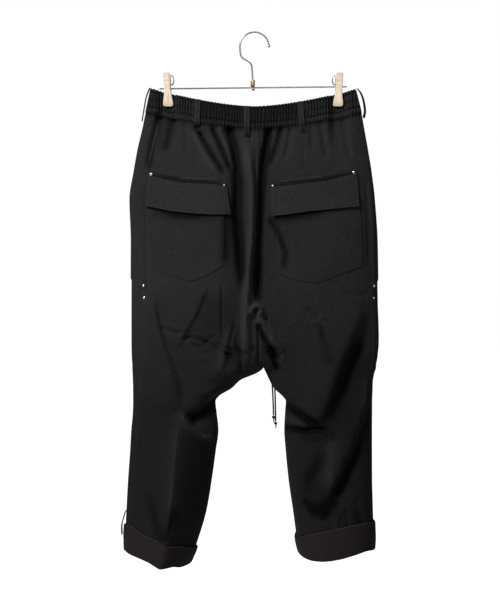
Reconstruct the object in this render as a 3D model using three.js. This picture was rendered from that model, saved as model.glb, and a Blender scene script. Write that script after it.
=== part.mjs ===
// Black harem trousers hung by the waistband from a clip hanger, back to the viewer.
// Millimetres. X to the viewer's right, Y away from the viewer, Z up.
// The origin is the inner top of the hanger's hook, where it bears on a rail.
import * as THREE from "three";

// Cloth and seams
const clothWall = 1.2;
const bandWall = 2.2;
const cuffWall = 2.0;
const seamGap = 0.3;
const layGap = 0.6; // between a panel and what is sewn on it

// Waist: both curves are lowest at the centre back and rise to the sides
const waistTop = { centre: -138, rise: 34, halfWidth: 190, power: 1.6 };
const waistSeam = { centre: -179, rise: 32, halfWidth: 200, power: 1.6 };
const gather = { pitch: 8.6, height: 1.5 };
const clips = [
  { name: "left", x: -160.5 },
  { name: "right", x: 155.5 },
];
const clipPinch = { share: 0.87, halfWidth: 17, foot: -150, fade: 48 };

// Waistband: rows go from the seam (0) to the top (1) with the fullness of the gathers
const band = {
  stand: 1, // off the line of the panels
  room: 0.5, // least room behind the wall
  foot: -150,
  ends: 0.93, // from here the band closes to its end at the side
  endReach: 1,
  endLean: 2,
  held: 0.8, // share of a gather pressed flat by a loop or a clip
  loopHold: 9,
  clipHold: 14,
};
const backBandRows = [
  { up: 0, fullness: 0.5 }, { up: 0.3, fullness: 1 }, { up: 0.78, fullness: 1 }, { up: 1, fullness: 0.6 },
];
const frontBandRows = [
  { up: 0, fullness: 0.5 }, { up: 0.5, fullness: 1 }, { up: 1, fullness: 0.6 },
];
const uneven = { least: 0.75, spread: 0.25, alongTurn: 1.9, upTurn: 2 };

// Each row is a level cut through one half of the trousers.
// z height; outer, inner: edges seen from the front; seam: side seam on the back;
// middle: place of the greatest depth, 0 inner to 1 outer; close: 0 open to the
// other half, 1 a closed leg; back, front: depths; power: 2 an ellipse, 1 a sharp crease
const sectionColumns = [
  "z", "outer", "inner", "seam", "middle", "close", "back", "front", "power",
];
const leftSections = named(sectionColumns, [
  [-100, -191, 0, -171, 0, 0, 12, 12, 3.4],
  [-146, -201, 0, -174, 0, 0, 14, 14, 3.2],
  [-180, -208, 0, -180, 0, 0, 20, 20, 2.8],
  [-216, -216.5, 1, -188, 0, 0, 28, 28, 2.5],
  [-254, -223, 2, -196, 0, 0, 35, 35, 2.4],
  [-309, -229.5, 4, -199, 0, 0, 43, 43, 2.3],
  [-383, -227, 3, -199, 0, 0, 50, 50, 2.2],
  [-494, -227.5, 2, -196, 0, 0, 54, 55, 2.1],
  [-568, -227.5, 6, -200, 0, 0, 54, 55, 2.1],
  [-600, -227, 10, -204, 0.12, 0.45, 52, 54, 2.1],
  [-615, -226, 16.5, -207, 0.25, 0.8, 50, 52, 2.1],
  [-617, -226, 16.5, -207, 0.26, 0.85, 50, 52, 2.1],
  [-620.5, -226, 15.5, -207, 0.28, 1, 50, 52, 2.08],
  [-628, -225.6, 6, -208, 0.33, 1, 50, 51, 2.05],
  [-642, -225, -26, -210, 0.36, 1, 50, 50, 2],
  [-657, -224.6, -42, -211, 0.38, 1, 50, 50, 2],
  [-671, -224.5, -65, -212, 0.38, 1, 50, 50, 2],
  [-681, -224.4, -72, -213, 0.38, 1, 50, 50, 2],
  [-701, -225, -70, -214, 0.39, 1, 50, 50, 1.9],
  [-735, -228, -66.5, -216, 0.42, 1, 51, 51, 1.8],
  [-771, -230, -71, -219, 0.43, 1, 53, 53, 1.7],
  [-827, -234, -78.6, -224, 0.43, 1, 57, 57, 1.6],
  [-882, -237, -88, -229, 0.42, 1, 61, 61, 1.5],
  [-940, -239.5, -105, -233, 0.41, 1, 66, 66, 1.4],
  [-985, -240.5, -121, -235, 0.41, 1, 70, 70, 1.35],
]);
const rightSections = named(sectionColumns, [
  [-100, 186, 0, 181, 0, 0, 12, 12, 3.4],
  [-146, 197.5, 0, 192, 0, 0, 14, 14, 3.2],
  [-180, 203.5, 0, 198, 0, 0, 20, 20, 2.8],
  [-216, 210, 1, 204, 0, 0, 28, 28, 2.5],
  [-254, 216, 2, 206, 0, 0, 35, 35, 2.4],
  [-309, 221, 4, 209, 0, 0, 43, 43, 2.3],
  [-383, 226, 3, 212, 0, 0, 50, 50, 2.2],
  [-494, 228, 2, 213, 0, 0, 54, 55, 2.1],
  [-568, 230, 6, 216, 0, 0, 54, 55, 2.1],
  [-600, 227.5, 10, 215, 0.12, 0.45, 52, 54, 2.1],
  [-615, 225, 16.5, 214, 0.25, 0.8, 50, 52, 2.1],
  [-617, 225, 16.5, 214, 0.26, 0.85, 50, 52, 2.1],
  [-620.5, 225, 17.5, 214, 0.28, 1, 50, 52, 2.1],
  [-628, 222, 21, 213, 0.33, 1, 50, 51, 2.05],
  [-642, 219.2, 27.4, 213, 0.36, 1, 50, 50, 2],
  [-657, 218.5, 36, 212, 0.38, 1, 50, 50, 2],
  [-671, 218, 51, 212, 0.38, 1, 50, 50, 2],
  [-681, 217.7, 58, 211, 0.38, 1, 50, 50, 2],
  [-701, 217.6, 56.5, 211, 0.38, 1, 50, 50, 2],
  [-735, 217.4, 55, 211, 0.38, 1, 51, 51, 2],
  [-771, 217.4, 57.5, 211, 0.38, 1, 53, 53, 2],
  [-827, 217.6, 63, 211, 0.37, 1, 57, 57, 2],
  [-882, 219, 71, 213, 0.36, 1, 61, 61, 2.1],
  [-940, 220.5, 79, 214, 0.35, 1, 65, 65, 2.3],
  [-985, 221, 86, 215, 0.35, 1, 68, 68, 2.4],
]);

// Cuff edges from the inseam (0) to the outer side (1)
const cuffColumns = ["t", "top", "foot"];
const leftCuff = named(cuffColumns, [
  [0, -948, -978],
  [0.05, -946.5, -980],
  [0.12, -943.5, -980],
  [0.27, -937, -975],
  [0.42, -935.5, -975.5],
  [0.5, -929, -972],
  [0.62, -923, -966.5],
  [0.78, -916, -962.5],
  [0.91, -907, -960],
  [1, -908, -956],
]);
const rightCuff = named(cuffColumns, [
  [0, -931, -957],
  [0.08, -921, -961],
  [0.17, -915.5, -962.5],
  [0.27, -910.5, -962.5],
  [0.48, -905, -959.5],
  [0.7, -899.5, -953],
  [0.88, -897.5, -948.5],
  [1, -902, -951.5],
]);

const legs = [
  { name: "left", side: -1, sections: leftSections, cuff: leftCuff },
  { name: "right", side: 1, sections: rightSections, cuff: rightCuff },
];

// Folds: the path runs over the face as [x, z] points. lift raises (or sinks)
// the cloth along it, step raises the side to the right of a downward path
// and sinks the other
const foldEnds = { start: 0.18, end: 0.22 }; // shares of its length where a fold fades
const foldSpread = 1.6; // how near the folds come to a closed edge
const backFolds = [
  { path: [[-151, -164], [-163, -222]], width: 7, lift: -3 },
  { path: [[-105, -181], [-78, -224], [-52, -262]], width: 9, lift: -6 },
  { path: [[-118, -182], [-94, -226], [-72, -258]], width: 9, lift: 3 },
  { path: [[-69, -190], [-50, -228], [-40, -250]], width: 8, lift: -5 },
  {
    path: [[-42, -194], [-36, -222], [-29, -282], [-32, -340], [-26, -404], [-19, -492]],
    width: 11, lift: -9,
  },
  {
    path: [[-14, -194], [-3, -296], [-1, -360], [-12, -451], [-16, -534], [-12, -620]],
    width: 9, lift: 7,
  },
  {
    path: [[26, -194], [17, -241], [13, -295], [10, -340], [6, -422], [4, -494]],
    width: 9, lift: -9,
  },
  { path: [[47, -194], [34, -228], [24, -248]], width: 8, lift: -5 },
  { path: [[2, -512], [6, -543], [20, -572], [34, -600]], width: 8, lift: -8 },
  { path: [[14, -508], [20, -546], [36, -586], [46, -610]], width: 8, lift: 4 },
  {
    path: [[-186, -478], [-174, -534], [-162, -579], [-150, -611], [-138, -651], [-130, -700]],
    width: 13, step: -5,
  },
  { path: [[-82, -468], [-103, -518], [-122, -552], [-142, -592]], width: 13, step: -3 },
  { path: [[-35, -534], [-48, -586], [-53, -618]], width: 9, lift: -4 },
  { path: [[-72, -669], [-92, -686], [-122, -702]], width: 11, step: -8 },
  { path: [[-131, -698], [-109, -723], [-80, -742]], width: 10, lift: 4 },
  { path: [[58, -678], [85, -697], [118, -718]], width: 11, step: 8 },
  { path: [[62, -726], [96, -729], [121, -722]], width: 9, lift: -4 },
  { path: [[117, -540], [140, -618]], width: 12, lift: -2 },
  { path: [[207, -498], [189, -556], [162, -613], [140, -676], [119, -732]], width: 20, step: -9 },
  { path: [[216, -668], [204, -730], [182, -784], [155, -832], [136, -876]], width: 18, step: -8 },
  { path: [[164, -730], [149, -764], [132, -804], [112, -848]], width: 12, lift: 4 },
  { path: [[94, -864], [116, -877], [138, -870], [150, -850]], width: 13, lift: -8 },
  { path: [[-191, -839], [-182, -879], [-173, -925]], width: 11, lift: -4 },
];
const frontFolds = [
  { path: [[-60, -182], [-52, -260], [-46, -340]], width: 11, lift: -6 },
  { path: [[-92, -182], [-84, -250]], width: 10, lift: -4 },
  { path: [[-26, -186], [-24, -300], [-20, -420]], width: 11, lift: -5 },
  { path: [[76, -182], [68, -262], [62, -350]], width: 11, lift: -6 },
  { path: [[112, -180], [104, -240]], width: 10, lift: -4 },
  { path: [[-175, -500], [-150, -590], [-128, -690]], width: 16, lift: -8 },
  { path: [[-40, -520], [-58, -590], [-80, -640]], width: 12, lift: -5 },
  { path: [[190, -500], [160, -590], [128, -690]], width: 17, lift: -9 },
  { path: [[84, -540], [96, -600], [112, -650]], width: 12, lift: -4 },
  { path: [[-72, -690], [-110, -712]], width: 11, lift: -5 },
  { path: [[62, -690], [104, -716]], width: 11, lift: -5 },
  { path: [[190, -760], [166, -840], [150, -900]], width: 17, lift: -8 },
  { path: [[-210, -780], [-196, -860], [-186, -920]], width: 14, lift: -5 },
];
const faces = {
  back: { name: "back", sign: -1, folds: backFolds },
  front: { name: "front", sign: 1, folds: frontFolds },
};

// Rows of the panels: from the waist seam to the first level row, the level
// rows, and from the last of them to the hem
const topRows = 8;
const levelRows = [
  -392, -424, -458, -492, -524, -553, -580, -602, -617, -620.5, -630, -643, -656,
  -669, -682, -698, -718, -742, -770, -800, -830, -860,
];
const hemRows = 4;
const hemInCuff = 1.5; // the panel ends this far above the foot of its cuff

// Back pockets, corners as [x, z] on the panel
const pocketTop = 12; // below the flap's top edge
const pocketGrid = { across: 9, down: 6 };
const weltSteps = 7;
// Flap rows: v from its top edge to its foot, off how far it stands clear of what it covers
const flapRows = [
  { v: 0, off: 0.6 }, { v: 0.05, off: 0.9 }, { v: 0.18, off: 2.6 }, { v: 0.6, off: 3 }, { v: 1, off: 3.8 },
];
const pockets = [
  {
    name: "left", leg: legs[0],
    flapTop: [[-50, -284], [-68, -279], [-134, -275], [-194, -260]],
    flapFoot: [[-44, -341], [-104, -339], [-149, -334], [-198, -323]],
    welt: [[-66, -274.5], [-134, -271.5]],
    sides: { inner: [-54, -55], outer: [-193, -191] },
    foot: [[-55, -433], [-87, -451], [-116, -461], [-158, -448], [-191, -432]],
  },
  {
    name: "right", leg: legs[1],
    flapTop: [[28, -284], [75, -279], [125, -273], [186, -256]],
    flapFoot: [[30, -344], [60, -340], [95, -335], [189, -324]],
    welt: [[44, -276], [124, -269.5]],
    sides: { inner: [33, 44], outer: [191, 198] },
    foot: [[44, -446], [64, -455], [82, -461], [114, -464], [198, -432]],
  },
];
const weltHeight = 4.5;
const rivet = { radius: 2.4, height: 1.3, inset: 5, drop: 3.5, lift: 0.5, flapRise: 0.6, sides: 12 };

// Side pocket patches: lower edge from the side seam round to the front
const sidePocket = {
  top: -244, seamFoot: -476, edgeFoot: -452, frontFoot: -440, frontShare: 0.6, off: 0.9,
  fromSeam: 1.2, rows: 8, backSteps: 3, frontSteps: 5,
};
const sideRivets = [
  { name: "side_left_upper", leg: legs[0], x: -202, z: -468, onPatch: true },
  { name: "side_left_lower", leg: legs[0], x: -202, z: -490, onPatch: false },
  { name: "side_right_upper", leg: legs[1], x: 218.5, z: -468, onPatch: true },
  { name: "side_right_lower", leg: legs[1], x: 219, z: -490, onPatch: false },
];

// Belt loops
const loopWidth = 10;
const loopWall = 1.5;
const loopTuck = 7; // height over which a loop comes down from the band to the panel
const loopDrop = 0.5; // its top lies this far under the band's top edge
const faceLoops = [
  { name: "back_left", face: faces.back, top: -104, foot: -106, low: -186 },
  { name: "back_centre", face: faces.back, top: -14, foot: -14, low: -194 },
  { name: "back_right", face: faces.back, top: 84, foot: 88, low: -186 },
  { name: "front_left", face: faces.front, top: -104, foot: -104, low: -186 },
  { name: "front_right", face: faces.front, top: 100, foot: 100, low: -186 },
];
const loopBow = [
  // along the loop from its top, and how far its inner face stands off the band
  { at: 0, off: 0.9 }, { at: 0.08, off: 1.2 }, { at: 0.3, off: 2.6 },
  { at: 0.7, off: 2.6 }, { at: 0.88, off: 2 }, { at: 1, off: 1.5 },
];
const sideLoops = [
  {
    name: "side_left", side: -1, turn: 0,
    bow: [[-193.2, -102], [-199.4, -118], [-203, -137], [-205.2, -150], [-207.4, -163]],
  },
  {
    name: "side_right", side: 1, turn: 27,
    bow: [[189.8, -103], [195.4, -110], [200.3, -122], [203, -135], [203.8, -146], [201.6, -157]],
  },
];

// Drawstring: both ends hang from the front of the band, down the front panel
const cordRadius = 1.5;
const cordSteps = 38;
const cordSides = 8;
const cords = [
  {
    name: "left",
    route: [
      [8, 18.7, -158], [8, 25, -159], [8.4, 28.5, -166], [8.8, 29.5, -182], [9.4, 33, -216],
      [10.4, 40, -254], [12, 48, -309], [14.5, 55, -383], [19, 60, -470], [24, 61.5, -540],
      [29, 61, -590], [33, 58.5, -640], [35.4, 57, -680], [36.4, 56, -713],
    ],
  },
  {
    name: "right",
    route: [
      [16, 18.7, -158], [16, 25, -159], [16, 28.5, -166], [16, 29.5, -182], [16.2, 33, -216],
      [17, 40, -254], [18.4, 48, -309], [20.6, 55, -383], [24.6, 60, -470], [29.4, 61.5, -540],
      [34, 61, -590], [37.8, 57.5, -640], [39.6, 54.5, -680], [40.4, 52, -724],
    ],
  },
];
const knot = { radius: 3.2, neck: 1.8, height: 6.5, tail: 6, tailRadius: 1.7 };

// Hanger
const wireRadius = 1.5;
const hookArc = { centre: [0, -25.5], radius: 27, from: 8, to: 188 };
const hookStem = [[-24, -44], [-15.5, -50.5], [-6.6, -57], [-4.6, -66], [-3.4, -86]];
const hookBall = { radius: 2.4, shift: 0.4 };
const ferrule = { x: -3.2, top: -86.8, radius: 3.9, foot: 1.6, rim: 1, neck: 0.8, base: 0.75 };
const rod = { radius: 1.35, left: [-177, -103.4], right: [171, -99.4] };
const rodStud = { radius: 2.6, height: 4.4, shoulder: 1.4, tip: 0.6, shift: 1 };
const jawColumns = ["z", "width", "inner", "outer", "lean"];
const jawRows = named(jawColumns, [
  [-75.5, 13.4, 6.6, 10.2, -1.4],
  [-88, 13, 4.6, 9.6, -1],
  [-99, 12.2, 2.2, 8.8, -0.6],
  [-107, 12.4, 2.2, 8.6, 0],
  [-112, 13.2, 4.9, 9, 0.4],
  [-121, 15.4, 4.9, 9.2, 0.9],
  [-130, 18.8, 4.9, 8.6, 1.3],
  [-137, 18.2, 4.9, 7, 1.6],
]);
const springBulge = { top: -78, foot: -97, reach: 6, depth: 3.6, out: 6.2 };

// Turn-ups stand a little off the leg and flare to the top; up runs from foot to top
const cuffForm = { across: 16, stand: 1.2, flare: 2.4, rows: [1, 0.5, 0], cutAbove: 20 };
const cuffTab = {
  width: 14, wall: 1.8,
  rows: [[-237.5, -884], [-242.3, -900], [-244.7, -911], [-244.3, -927]],
};

// Finishes
const twill = finish(0x202123, 0.85, 0);
const cordBlack = finish(0x1a1a1c, 0.9, 0);
const rivetMetal = finish(0xc9c7c0, 0.3, 1);
const steel = finish(0xa8a6a2, 0.3, 1);
const brass = finish(0x9b8b78, 0.35, 1);
const wood = finish(0xd9ccb6, 0.6, 0);

const trousers = new THREE.Group();

function finish(color, roughness, metalness) {
  return new THREE.MeshStandardMaterial({ color, roughness, metalness });
}

function named(columns, rows) {
  return rows.map((row) => Object.fromEntries(columns.map((name, i) => [name, row[i]])));
}

function clamp(value, low, high) {
  return Math.min(high, Math.max(low, value));
}

function lerp(a, b, share) {
  return a + (b - a) * share;
}

function smooth(value) {
  const v = clamp(value, 0, 1);
  return v * v * (3 - 2 * v);
}

// Value of a column at a height (or at t), by a curve that never overshoots its rows
function read(table, name, at, key = "z") {
  const sorted = table[0][key] < table[table.length - 1][key] ? table : [...table].reverse();
  const last = sorted.length - 1;
  const x = clamp(at, sorted[0][key], sorted[last][key]);
  let k = 0;
  while (k < last - 1 && x > sorted[k + 1][key]) k++;
  const rise = (i) => sorted[i + 1][name] - sorted[i][name];
  const slope = (i) => rise(i) / (sorted[i + 1][key] - sorted[i][key]);
  const tangent = (i) => {
    if (i === 0) return slope(0);
    if (i === last) return slope(last - 1);
    const before = slope(i - 1);
    const after = slope(i);
    return before * after <= 0 ? 0 : (2 * before * after) / (before + after);
  };
  const span = sorted[k + 1][key] - sorted[k][key];
  const s = (x - sorted[k][key]) / span;
  const s2 = s * s;
  const s3 = s2 * s;
  return (
    (2 * s3 - 3 * s2 + 1) * sorted[k][name] +
    (s3 - 2 * s2 + s) * span * tangent(k) +
    (3 * s2 - 2 * s3) * sorted[k + 1][name] +
    (s3 - s2) * span * tangent(k + 1)
  );
}

// Height of a piecewise edge given as [x, z] points, at x
function edgeAt(points, x) {
  const sorted = [...points].sort((a, b) => a[0] - b[0]);
  const at = clamp(x, sorted[0][0], sorted[sorted.length - 1][0]);
  let k = 0;
  while (k < sorted.length - 2 && at > sorted[k + 1][0]) k++;
  const [x0, z0] = sorted[k];
  const [x1, z1] = sorted[k + 1];
  return lerp(z0, z1, (at - x0) / (x1 - x0));
}

function waistCurve(curve, x) {
  return curve.centre + curve.rise * Math.pow(Math.abs(x) / curve.halfWidth, curve.power);
}

function foldLift(fold, x, z) {
  let best = { distance: Infinity };
  let total = 0;
  for (let i = 0; i + 1 < fold.path.length; i++) {
    const [ax, az] = fold.path[i];
    const [bx, bz] = fold.path[i + 1];
    const length = Math.hypot(bx - ax, bz - az);
    const ux = (bx - ax) / length;
    const uz = (bz - az) / length;
    const along = clamp((x - ax) * ux + (z - az) * uz, 0, length);
    const dx = x - ax - ux * along;
    const dz = z - az - uz * along;
    const distance = Math.hypot(dx, dz);
    if (distance < best.distance) {
      best = { distance, side: Math.sign(dz * ux - dx * uz), reached: total + along };
    }
    total += length;
  }
  const share = best.reached / total;
  const taper = smooth(share / foldEnds.start) * smooth((1 - share) / foldEnds.end);
  const s = best.distance / fold.width;
  const bump = (fold.lift || 0) * Math.exp(-s * s);
  const edge = (fold.step || 0) * best.side * s * Math.exp(0.5 - s * s / 2);
  return (bump + edge) * taper;
}

function clipSqueeze(x, z) {
  const below = Math.max(0, clipPinch.foot - z) / clipPinch.fade;
  const fade = Math.exp(-below * below);
  let left = 1;
  for (const clip of clips) {
    const away = (x - clip.x) / clipPinch.halfWidth;
    left -= clipPinch.share * Math.exp(-Math.pow(away, 4)) * fade;
  }
  return left;
}

// Depth of the cloth's outer face from the middle plane
function depthAt(leg, face, x, z) {
  const at = (name) => read(leg.sections, name, z);
  const inner = at("inner");
  const outer = at("outer");
  const middle = at("middle");
  const power = at("power");
  const t = clamp((x - inner) / (outer - inner), 0, 1);
  let away = 0;
  if (t > middle) away = (t - middle) / (1 - middle);
  else if (middle > 0) away = ((middle - t) / middle) * at("close");
  const shape = Math.pow(Math.max(0, 1 - Math.pow(away, power)), 1 / power);
  let lift = 0;
  for (const fold of face.folds) lift += foldLift(fold, x, z);
  const free = smooth(shape * foldSpread);
  return seamGap / 2 + at(face.name) * shape * clipSqueeze(x, z) + lift * free;
}

// Outward direction of a face at x, z
function outwardAt(leg, face, x, z) {
  const inner = read(leg.sections, "inner", z);
  const outer = read(leg.sections, "outer", z);
  const t = (x - inner) / (outer - inner);
  if (t > 0.999) return new THREE.Vector3(leg.side, 0, 0);
  const closed = read(leg.sections, "close", z) > 0.99;
  if (t < 0.001 && closed) return new THREE.Vector3(-leg.side, 0, 0);
  const reach = 0.4;
  const low = Math.min(inner, outer);
  const high = Math.max(inner, outer);
  const x0 = clamp(x - reach, low, high);
  const x1 = clamp(x + reach, low, high);
  const slopeX = (depthAt(leg, face, x1, z) - depthAt(leg, face, x0, z)) / (x1 - x0);
  const slopeZ =
    (depthAt(leg, face, x, z + reach) - depthAt(leg, face, x, z - reach)) / (2 * reach);
  const outward = new THREE.Vector3(-slopeX, face.sign, -slopeZ);
  if (t < 0.02 && !closed) outward.x = 0;
  return outward.normalize();
}

function skinPoint(leg, face, x, z, off = 0) {
  const point = new THREE.Vector3(x, face.sign * depthAt(leg, face, x, z), z);
  return off ? point.addScaledVector(outwardAt(leg, face, x, z), off) : point;
}

// Closed wall from a grid of outer points and the grid of inner points behind them
function wallGeometry(outer, inner, outward) {
  const rows = outer.length;
  const columns = outer[0].length;
  const points = [...outer.flat(), ...inner.flat()];
  const index = (layer, j, i) => layer * rows * columns + j * columns + i;
  const across = new THREE.Vector3().subVectors(outer[0][1], outer[0][0]);
  const down = new THREE.Vector3().subVectors(outer[1][0], outer[0][0]);
  const flip = across.cross(down).dot(outward) < 0;
  const triangles = [];
  const quad = (a, b, c, d) => {
    if (flip) triangles.push(a, c, b, a, d, c);
    else triangles.push(a, b, c, a, c, d);
  };
  for (let j = 0; j + 1 < rows; j++) {
    for (let i = 0; i + 1 < columns; i++) {
      quad(index(0, j, i), index(0, j, i + 1), index(0, j + 1, i + 1), index(0, j + 1, i));
      quad(index(1, j, i), index(1, j + 1, i), index(1, j + 1, i + 1), index(1, j, i + 1));
    }
  }
  for (let i = 0; i + 1 < columns; i++) {
    quad(index(0, 0, i + 1), index(0, 0, i), index(1, 0, i), index(1, 0, i + 1));
    const r = rows - 1;
    quad(index(0, r, i), index(0, r, i + 1), index(1, r, i + 1), index(1, r, i));
  }
  for (let j = 0; j + 1 < rows; j++) {
    quad(index(0, j, 0), index(0, j + 1, 0), index(1, j + 1, 0), index(1, j, 0));
    const c = columns - 1;
    quad(index(0, j + 1, c), index(0, j, c), index(1, j, c), index(1, j + 1, c));
  }
  const geometry = new THREE.BufferGeometry();
  const positions = new Float32Array(points.flatMap((p) => [p.x, p.y, p.z]));
  geometry.setAttribute("position", new THREE.BufferAttribute(positions, 3));
  geometry.setIndex(triangles);
  return geometry;
}

function add(name, geometry, material) {
  const mesh = new THREE.Mesh(geometry, material);
  mesh.name = name;
  trousers.add(mesh);
  return mesh;
}

// Height of row number r at share t of the way from the inner edge to the outer
function rowHeight(leg, r, t) {
  if (r <= topRows) {
    const side = read(leg.sections, "outer", waistSeam.centre + waistSeam.rise);
    const seam = waistCurve(waistSeam, side * t) - 2 * seamGap;
    return lerp(seam, levelRows[0], r / topRows);
  }
  const level = r - topRows;
  if (level < levelRows.length) return levelRows[level];
  const below = (level - levelRows.length + 1) / hemRows;
  const foot = read(leg.cuff, "foot", t, "t") + hemInCuff;
  return lerp(levelRows[levelRows.length - 1], foot, below);
}

// Place on a half: angle -90 at a closed inner edge, 0 at the greatest depth,
// 90 at the outer edge
function shareAt(leg, z, angle) {
  const middle = read(leg.sections, "middle", z);
  const turn = Math.sin((angle * Math.PI) / 180);
  if (turn >= 0) return middle + (1 - middle) * turn;
  const close = Math.max(0.01, read(leg.sections, "close", z));
  return middle * (1 + turn / Math.sin((close * Math.PI) / 2));
}

function gridPoint(leg, r, angle) {
  const rough = rowHeight(leg, r, 0.5);
  const t = clamp(shareAt(leg, rough, angle), 0, 1);
  const inner = read(leg.sections, "inner", rowHeight(leg, r, 0));
  const outer = read(leg.sections, "outer", rowHeight(leg, r, 1));
  return { x: lerp(inner, outer, t), z: rowHeight(leg, r, t) };
}

function seamAngle(leg, r) {
  const z = rowHeight(leg, r, 0.95);
  const inner = read(leg.sections, "inner", z);
  const outer = read(leg.sections, "outer", z);
  const middle = read(leg.sections, "middle", z);
  const t = (read(leg.sections, "seam", z) - inner) / (outer - inner);
  return (Math.asin(clamp((t - middle) / (1 - middle), 0, 1)) * 180) / Math.PI;
}

function panelRows() {
  return topRows + levelRows.length + hemRows;
}

// A panel is cut from the waist seam to the hem. A back panel ends at the side
// seam, a front panel goes on round the side to meet it
function legPanel(leg, face, acrossCount, roundCount) {
  const outer = [];
  const inner = [];
  for (let r = 0; r < panelRows(); r++) {
    const z = rowHeight(leg, r, 0.5);
    const start = -90 * read(leg.sections, "close", z);
    const seam = seamAngle(leg, r);
    const end = face.name === "back" ? seam : 90;
    const stops = [];
    for (let i = 0; i <= acrossCount; i++) {
      stops.push({ side: face, angle: lerp(start, end, i / acrossCount) });
    }
    for (let i = 1; i <= roundCount; i++) {
      stops.push({ side: faces.back, angle: lerp(90, seam, i / roundCount) });
    }
    const outerRow = [];
    const innerRow = [];
    stops.forEach((stop, i) => {
      const at = gridPoint(leg, r, stop.angle);
      if (i === 0) at.x += (leg.side * seamGap) / 2;
      if (i === stops.length - 1) {
        at.x += (stop.side === face ? -1 : 1) * leg.side * (seamGap / 2);
      }
      const point = skinPoint(leg, stop.side, at.x, at.z);
      const outward = outwardAt(leg, stop.side, at.x, at.z);
      if (i === 0 && start > -89) outward.x = 0;
      outerRow.push(point);
      innerRow.push(point.clone().addScaledVector(outward, -clothWall));
    });
    outer.push(outerRow);
    inner.push(innerRow);
  }
  const outward = new THREE.Vector3(0, face.sign, 0);
  add(`${face.name}_${leg.name}`, wallGeometry(outer, inner, outward), twill);
}

function legAt(x, z) {
  return x < read(leftSections, "inner", z) ? legs[0] : legs[1];
}

// The band's outer face. Gathers are flattened where loops and clips hold them
function bandDepth(face, x, z, wave) {
  const loopNear = faceLoops
    .filter((loop) => loop.face === face)
    .map((loop) => Math.exp(-Math.pow((x - loop.top) / band.loopHold, 4)));
  const clipNear = clips.map((clip) => Math.exp(-Math.pow((x - clip.x) / band.clipHold, 4)));
  const held = Math.max(...loopNear, ...clipNear);
  const base = depthAt(legAt(x, z), face, x, z) + band.stand;
  return Math.max(bandWall + band.room, base + wave * (1 - band.held * held));
}

function waistband(face, rows) {
  const left = read(leftSections, "outer", band.foot);
  const right = read(rightSections, "outer", band.foot);
  const steps = 2 * Math.round((right - left) / gather.pitch);
  const outer = [];
  const inner = [];
  for (const { up, fullness } of rows) {
    const outerRow = [];
    const innerRow = [];
    for (let i = 0; i <= steps; i++) {
      const share = i / steps;
      const side = share < 0.5 ? legs[0] : legs[1];
      const reach = Math.abs(2 * share - 1);
      const roughSeam = waistCurve(waistSeam, reach * waistSeam.halfWidth);
      const roughTop = waistCurve(waistTop, reach * waistTop.halfWidth);
      const x = reach * read(side.sections, "outer", lerp(roughSeam, roughTop, up));
      const z = lerp(waistCurve(waistSeam, x), waistCurve(waistTop, x), up);
      const turn = i * uneven.alongTurn + up * uneven.upTurn;
      const strength = uneven.least + uneven.spread * Math.sin(turn);
      const wave = (i % 2 ? 1 : -1) * gather.height * strength * fullness;
      const end = i === 0 || i === steps;
      const y = end ? seamGap / 2 : bandDepth(face, x, z, wave);
      const closing = smooth((reach - band.ends) / (1 - band.ends));
      const point = new THREE.Vector3(x + side.side * closing * band.endReach, face.sign * y, z);
      const across = end ? 0 : face.sign;
      const outward = new THREE.Vector3(side.side * closing * band.endLean, across, 0).normalize();
      outerRow.push(point);
      const behind = point.clone().addScaledVector(outward, -bandWall);
      if (!end) behind.y = face.sign * Math.max(seamGap / 2, face.sign * behind.y);
      innerRow.push(behind);
    }
    outer.push(outerRow);
    inner.push(innerRow);
  }
  const outward = new THREE.Vector3(0, face.sign, 0);
  add(`waistband_${face.name}`, wallGeometry(outer, inner, outward), twill);
}

// A piece that lies on a face: grid of [x, z] places with the clearance under each
function laidPiece(name, leg, face, places, wall) {
  const lay = (row, extra) => row.map((p) => skinPoint(leg, face, p.x, p.z, p.off + extra));
  const outer = places.map((row) => lay(row, wall));
  const inner = places.map((row) => lay(row, 0));
  const outward = new THREE.Vector3(0, face.sign, 0);
  return add(name, wallGeometry(outer, inner, outward), twill);
}

function backPocket(pocket) {
  const places = [];
  for (let j = 0; j <= pocketGrid.down; j++) {
    const row = [];
    for (let i = 0; i <= pocketGrid.across; i++) {
      const u = i / pocketGrid.across;
      const v = j / pocketGrid.down;
      const x = lerp(
        lerp(pocket.sides.inner[0], pocket.sides.inner[1], v),
        lerp(pocket.sides.outer[0], pocket.sides.outer[1], v),
        u,
      );
      const top = edgeAt(pocket.flapTop, x) - pocketTop;
      row.push({ x, z: lerp(top, edgeAt(pocket.foot, x), v), off: layGap });
    }
    places.push(row);
  }
  laidPiece(`pocket_${pocket.name}`, pocket.leg, faces.back, places, clothWall);
}

function pocketFlap(pocket) {
  const places = flapRows.map(({ v, off }) => {
    const row = [];
    for (let i = 0; i <= pocketGrid.across; i++) {
      const u = i / pocketGrid.across;
      const topX = lerp(pocket.flapTop[0][0], pocket.flapTop[3][0], u);
      const footX = lerp(pocket.flapFoot[0][0], pocket.flapFoot[3][0], u);
      const x = lerp(topX, footX, v);
      const z = lerp(edgeAt(pocket.flapTop, topX), edgeAt(pocket.flapFoot, footX), v);
      row.push({ x, z, off });
    }
    return row;
  });
  laidPiece(`flap_${pocket.name}`, pocket.leg, faces.back, places, clothWall);
}

function pocketWelt(pocket) {
  const places = [1, 0].map((up) => {
    const row = [];
    for (let i = 0; i <= weltSteps; i++) {
      const x = lerp(pocket.welt[0][0], pocket.welt[1][0], i / weltSteps);
      const edge = edgeAt(pocket.flapTop, x) + layGap;
      row.push({ x, z: edge + up * weltHeight, off: layGap });
    }
    return row;
  });
  laidPiece(`welt_${pocket.name}`, pocket.leg, faces.back, places, clothWall);
}

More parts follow.
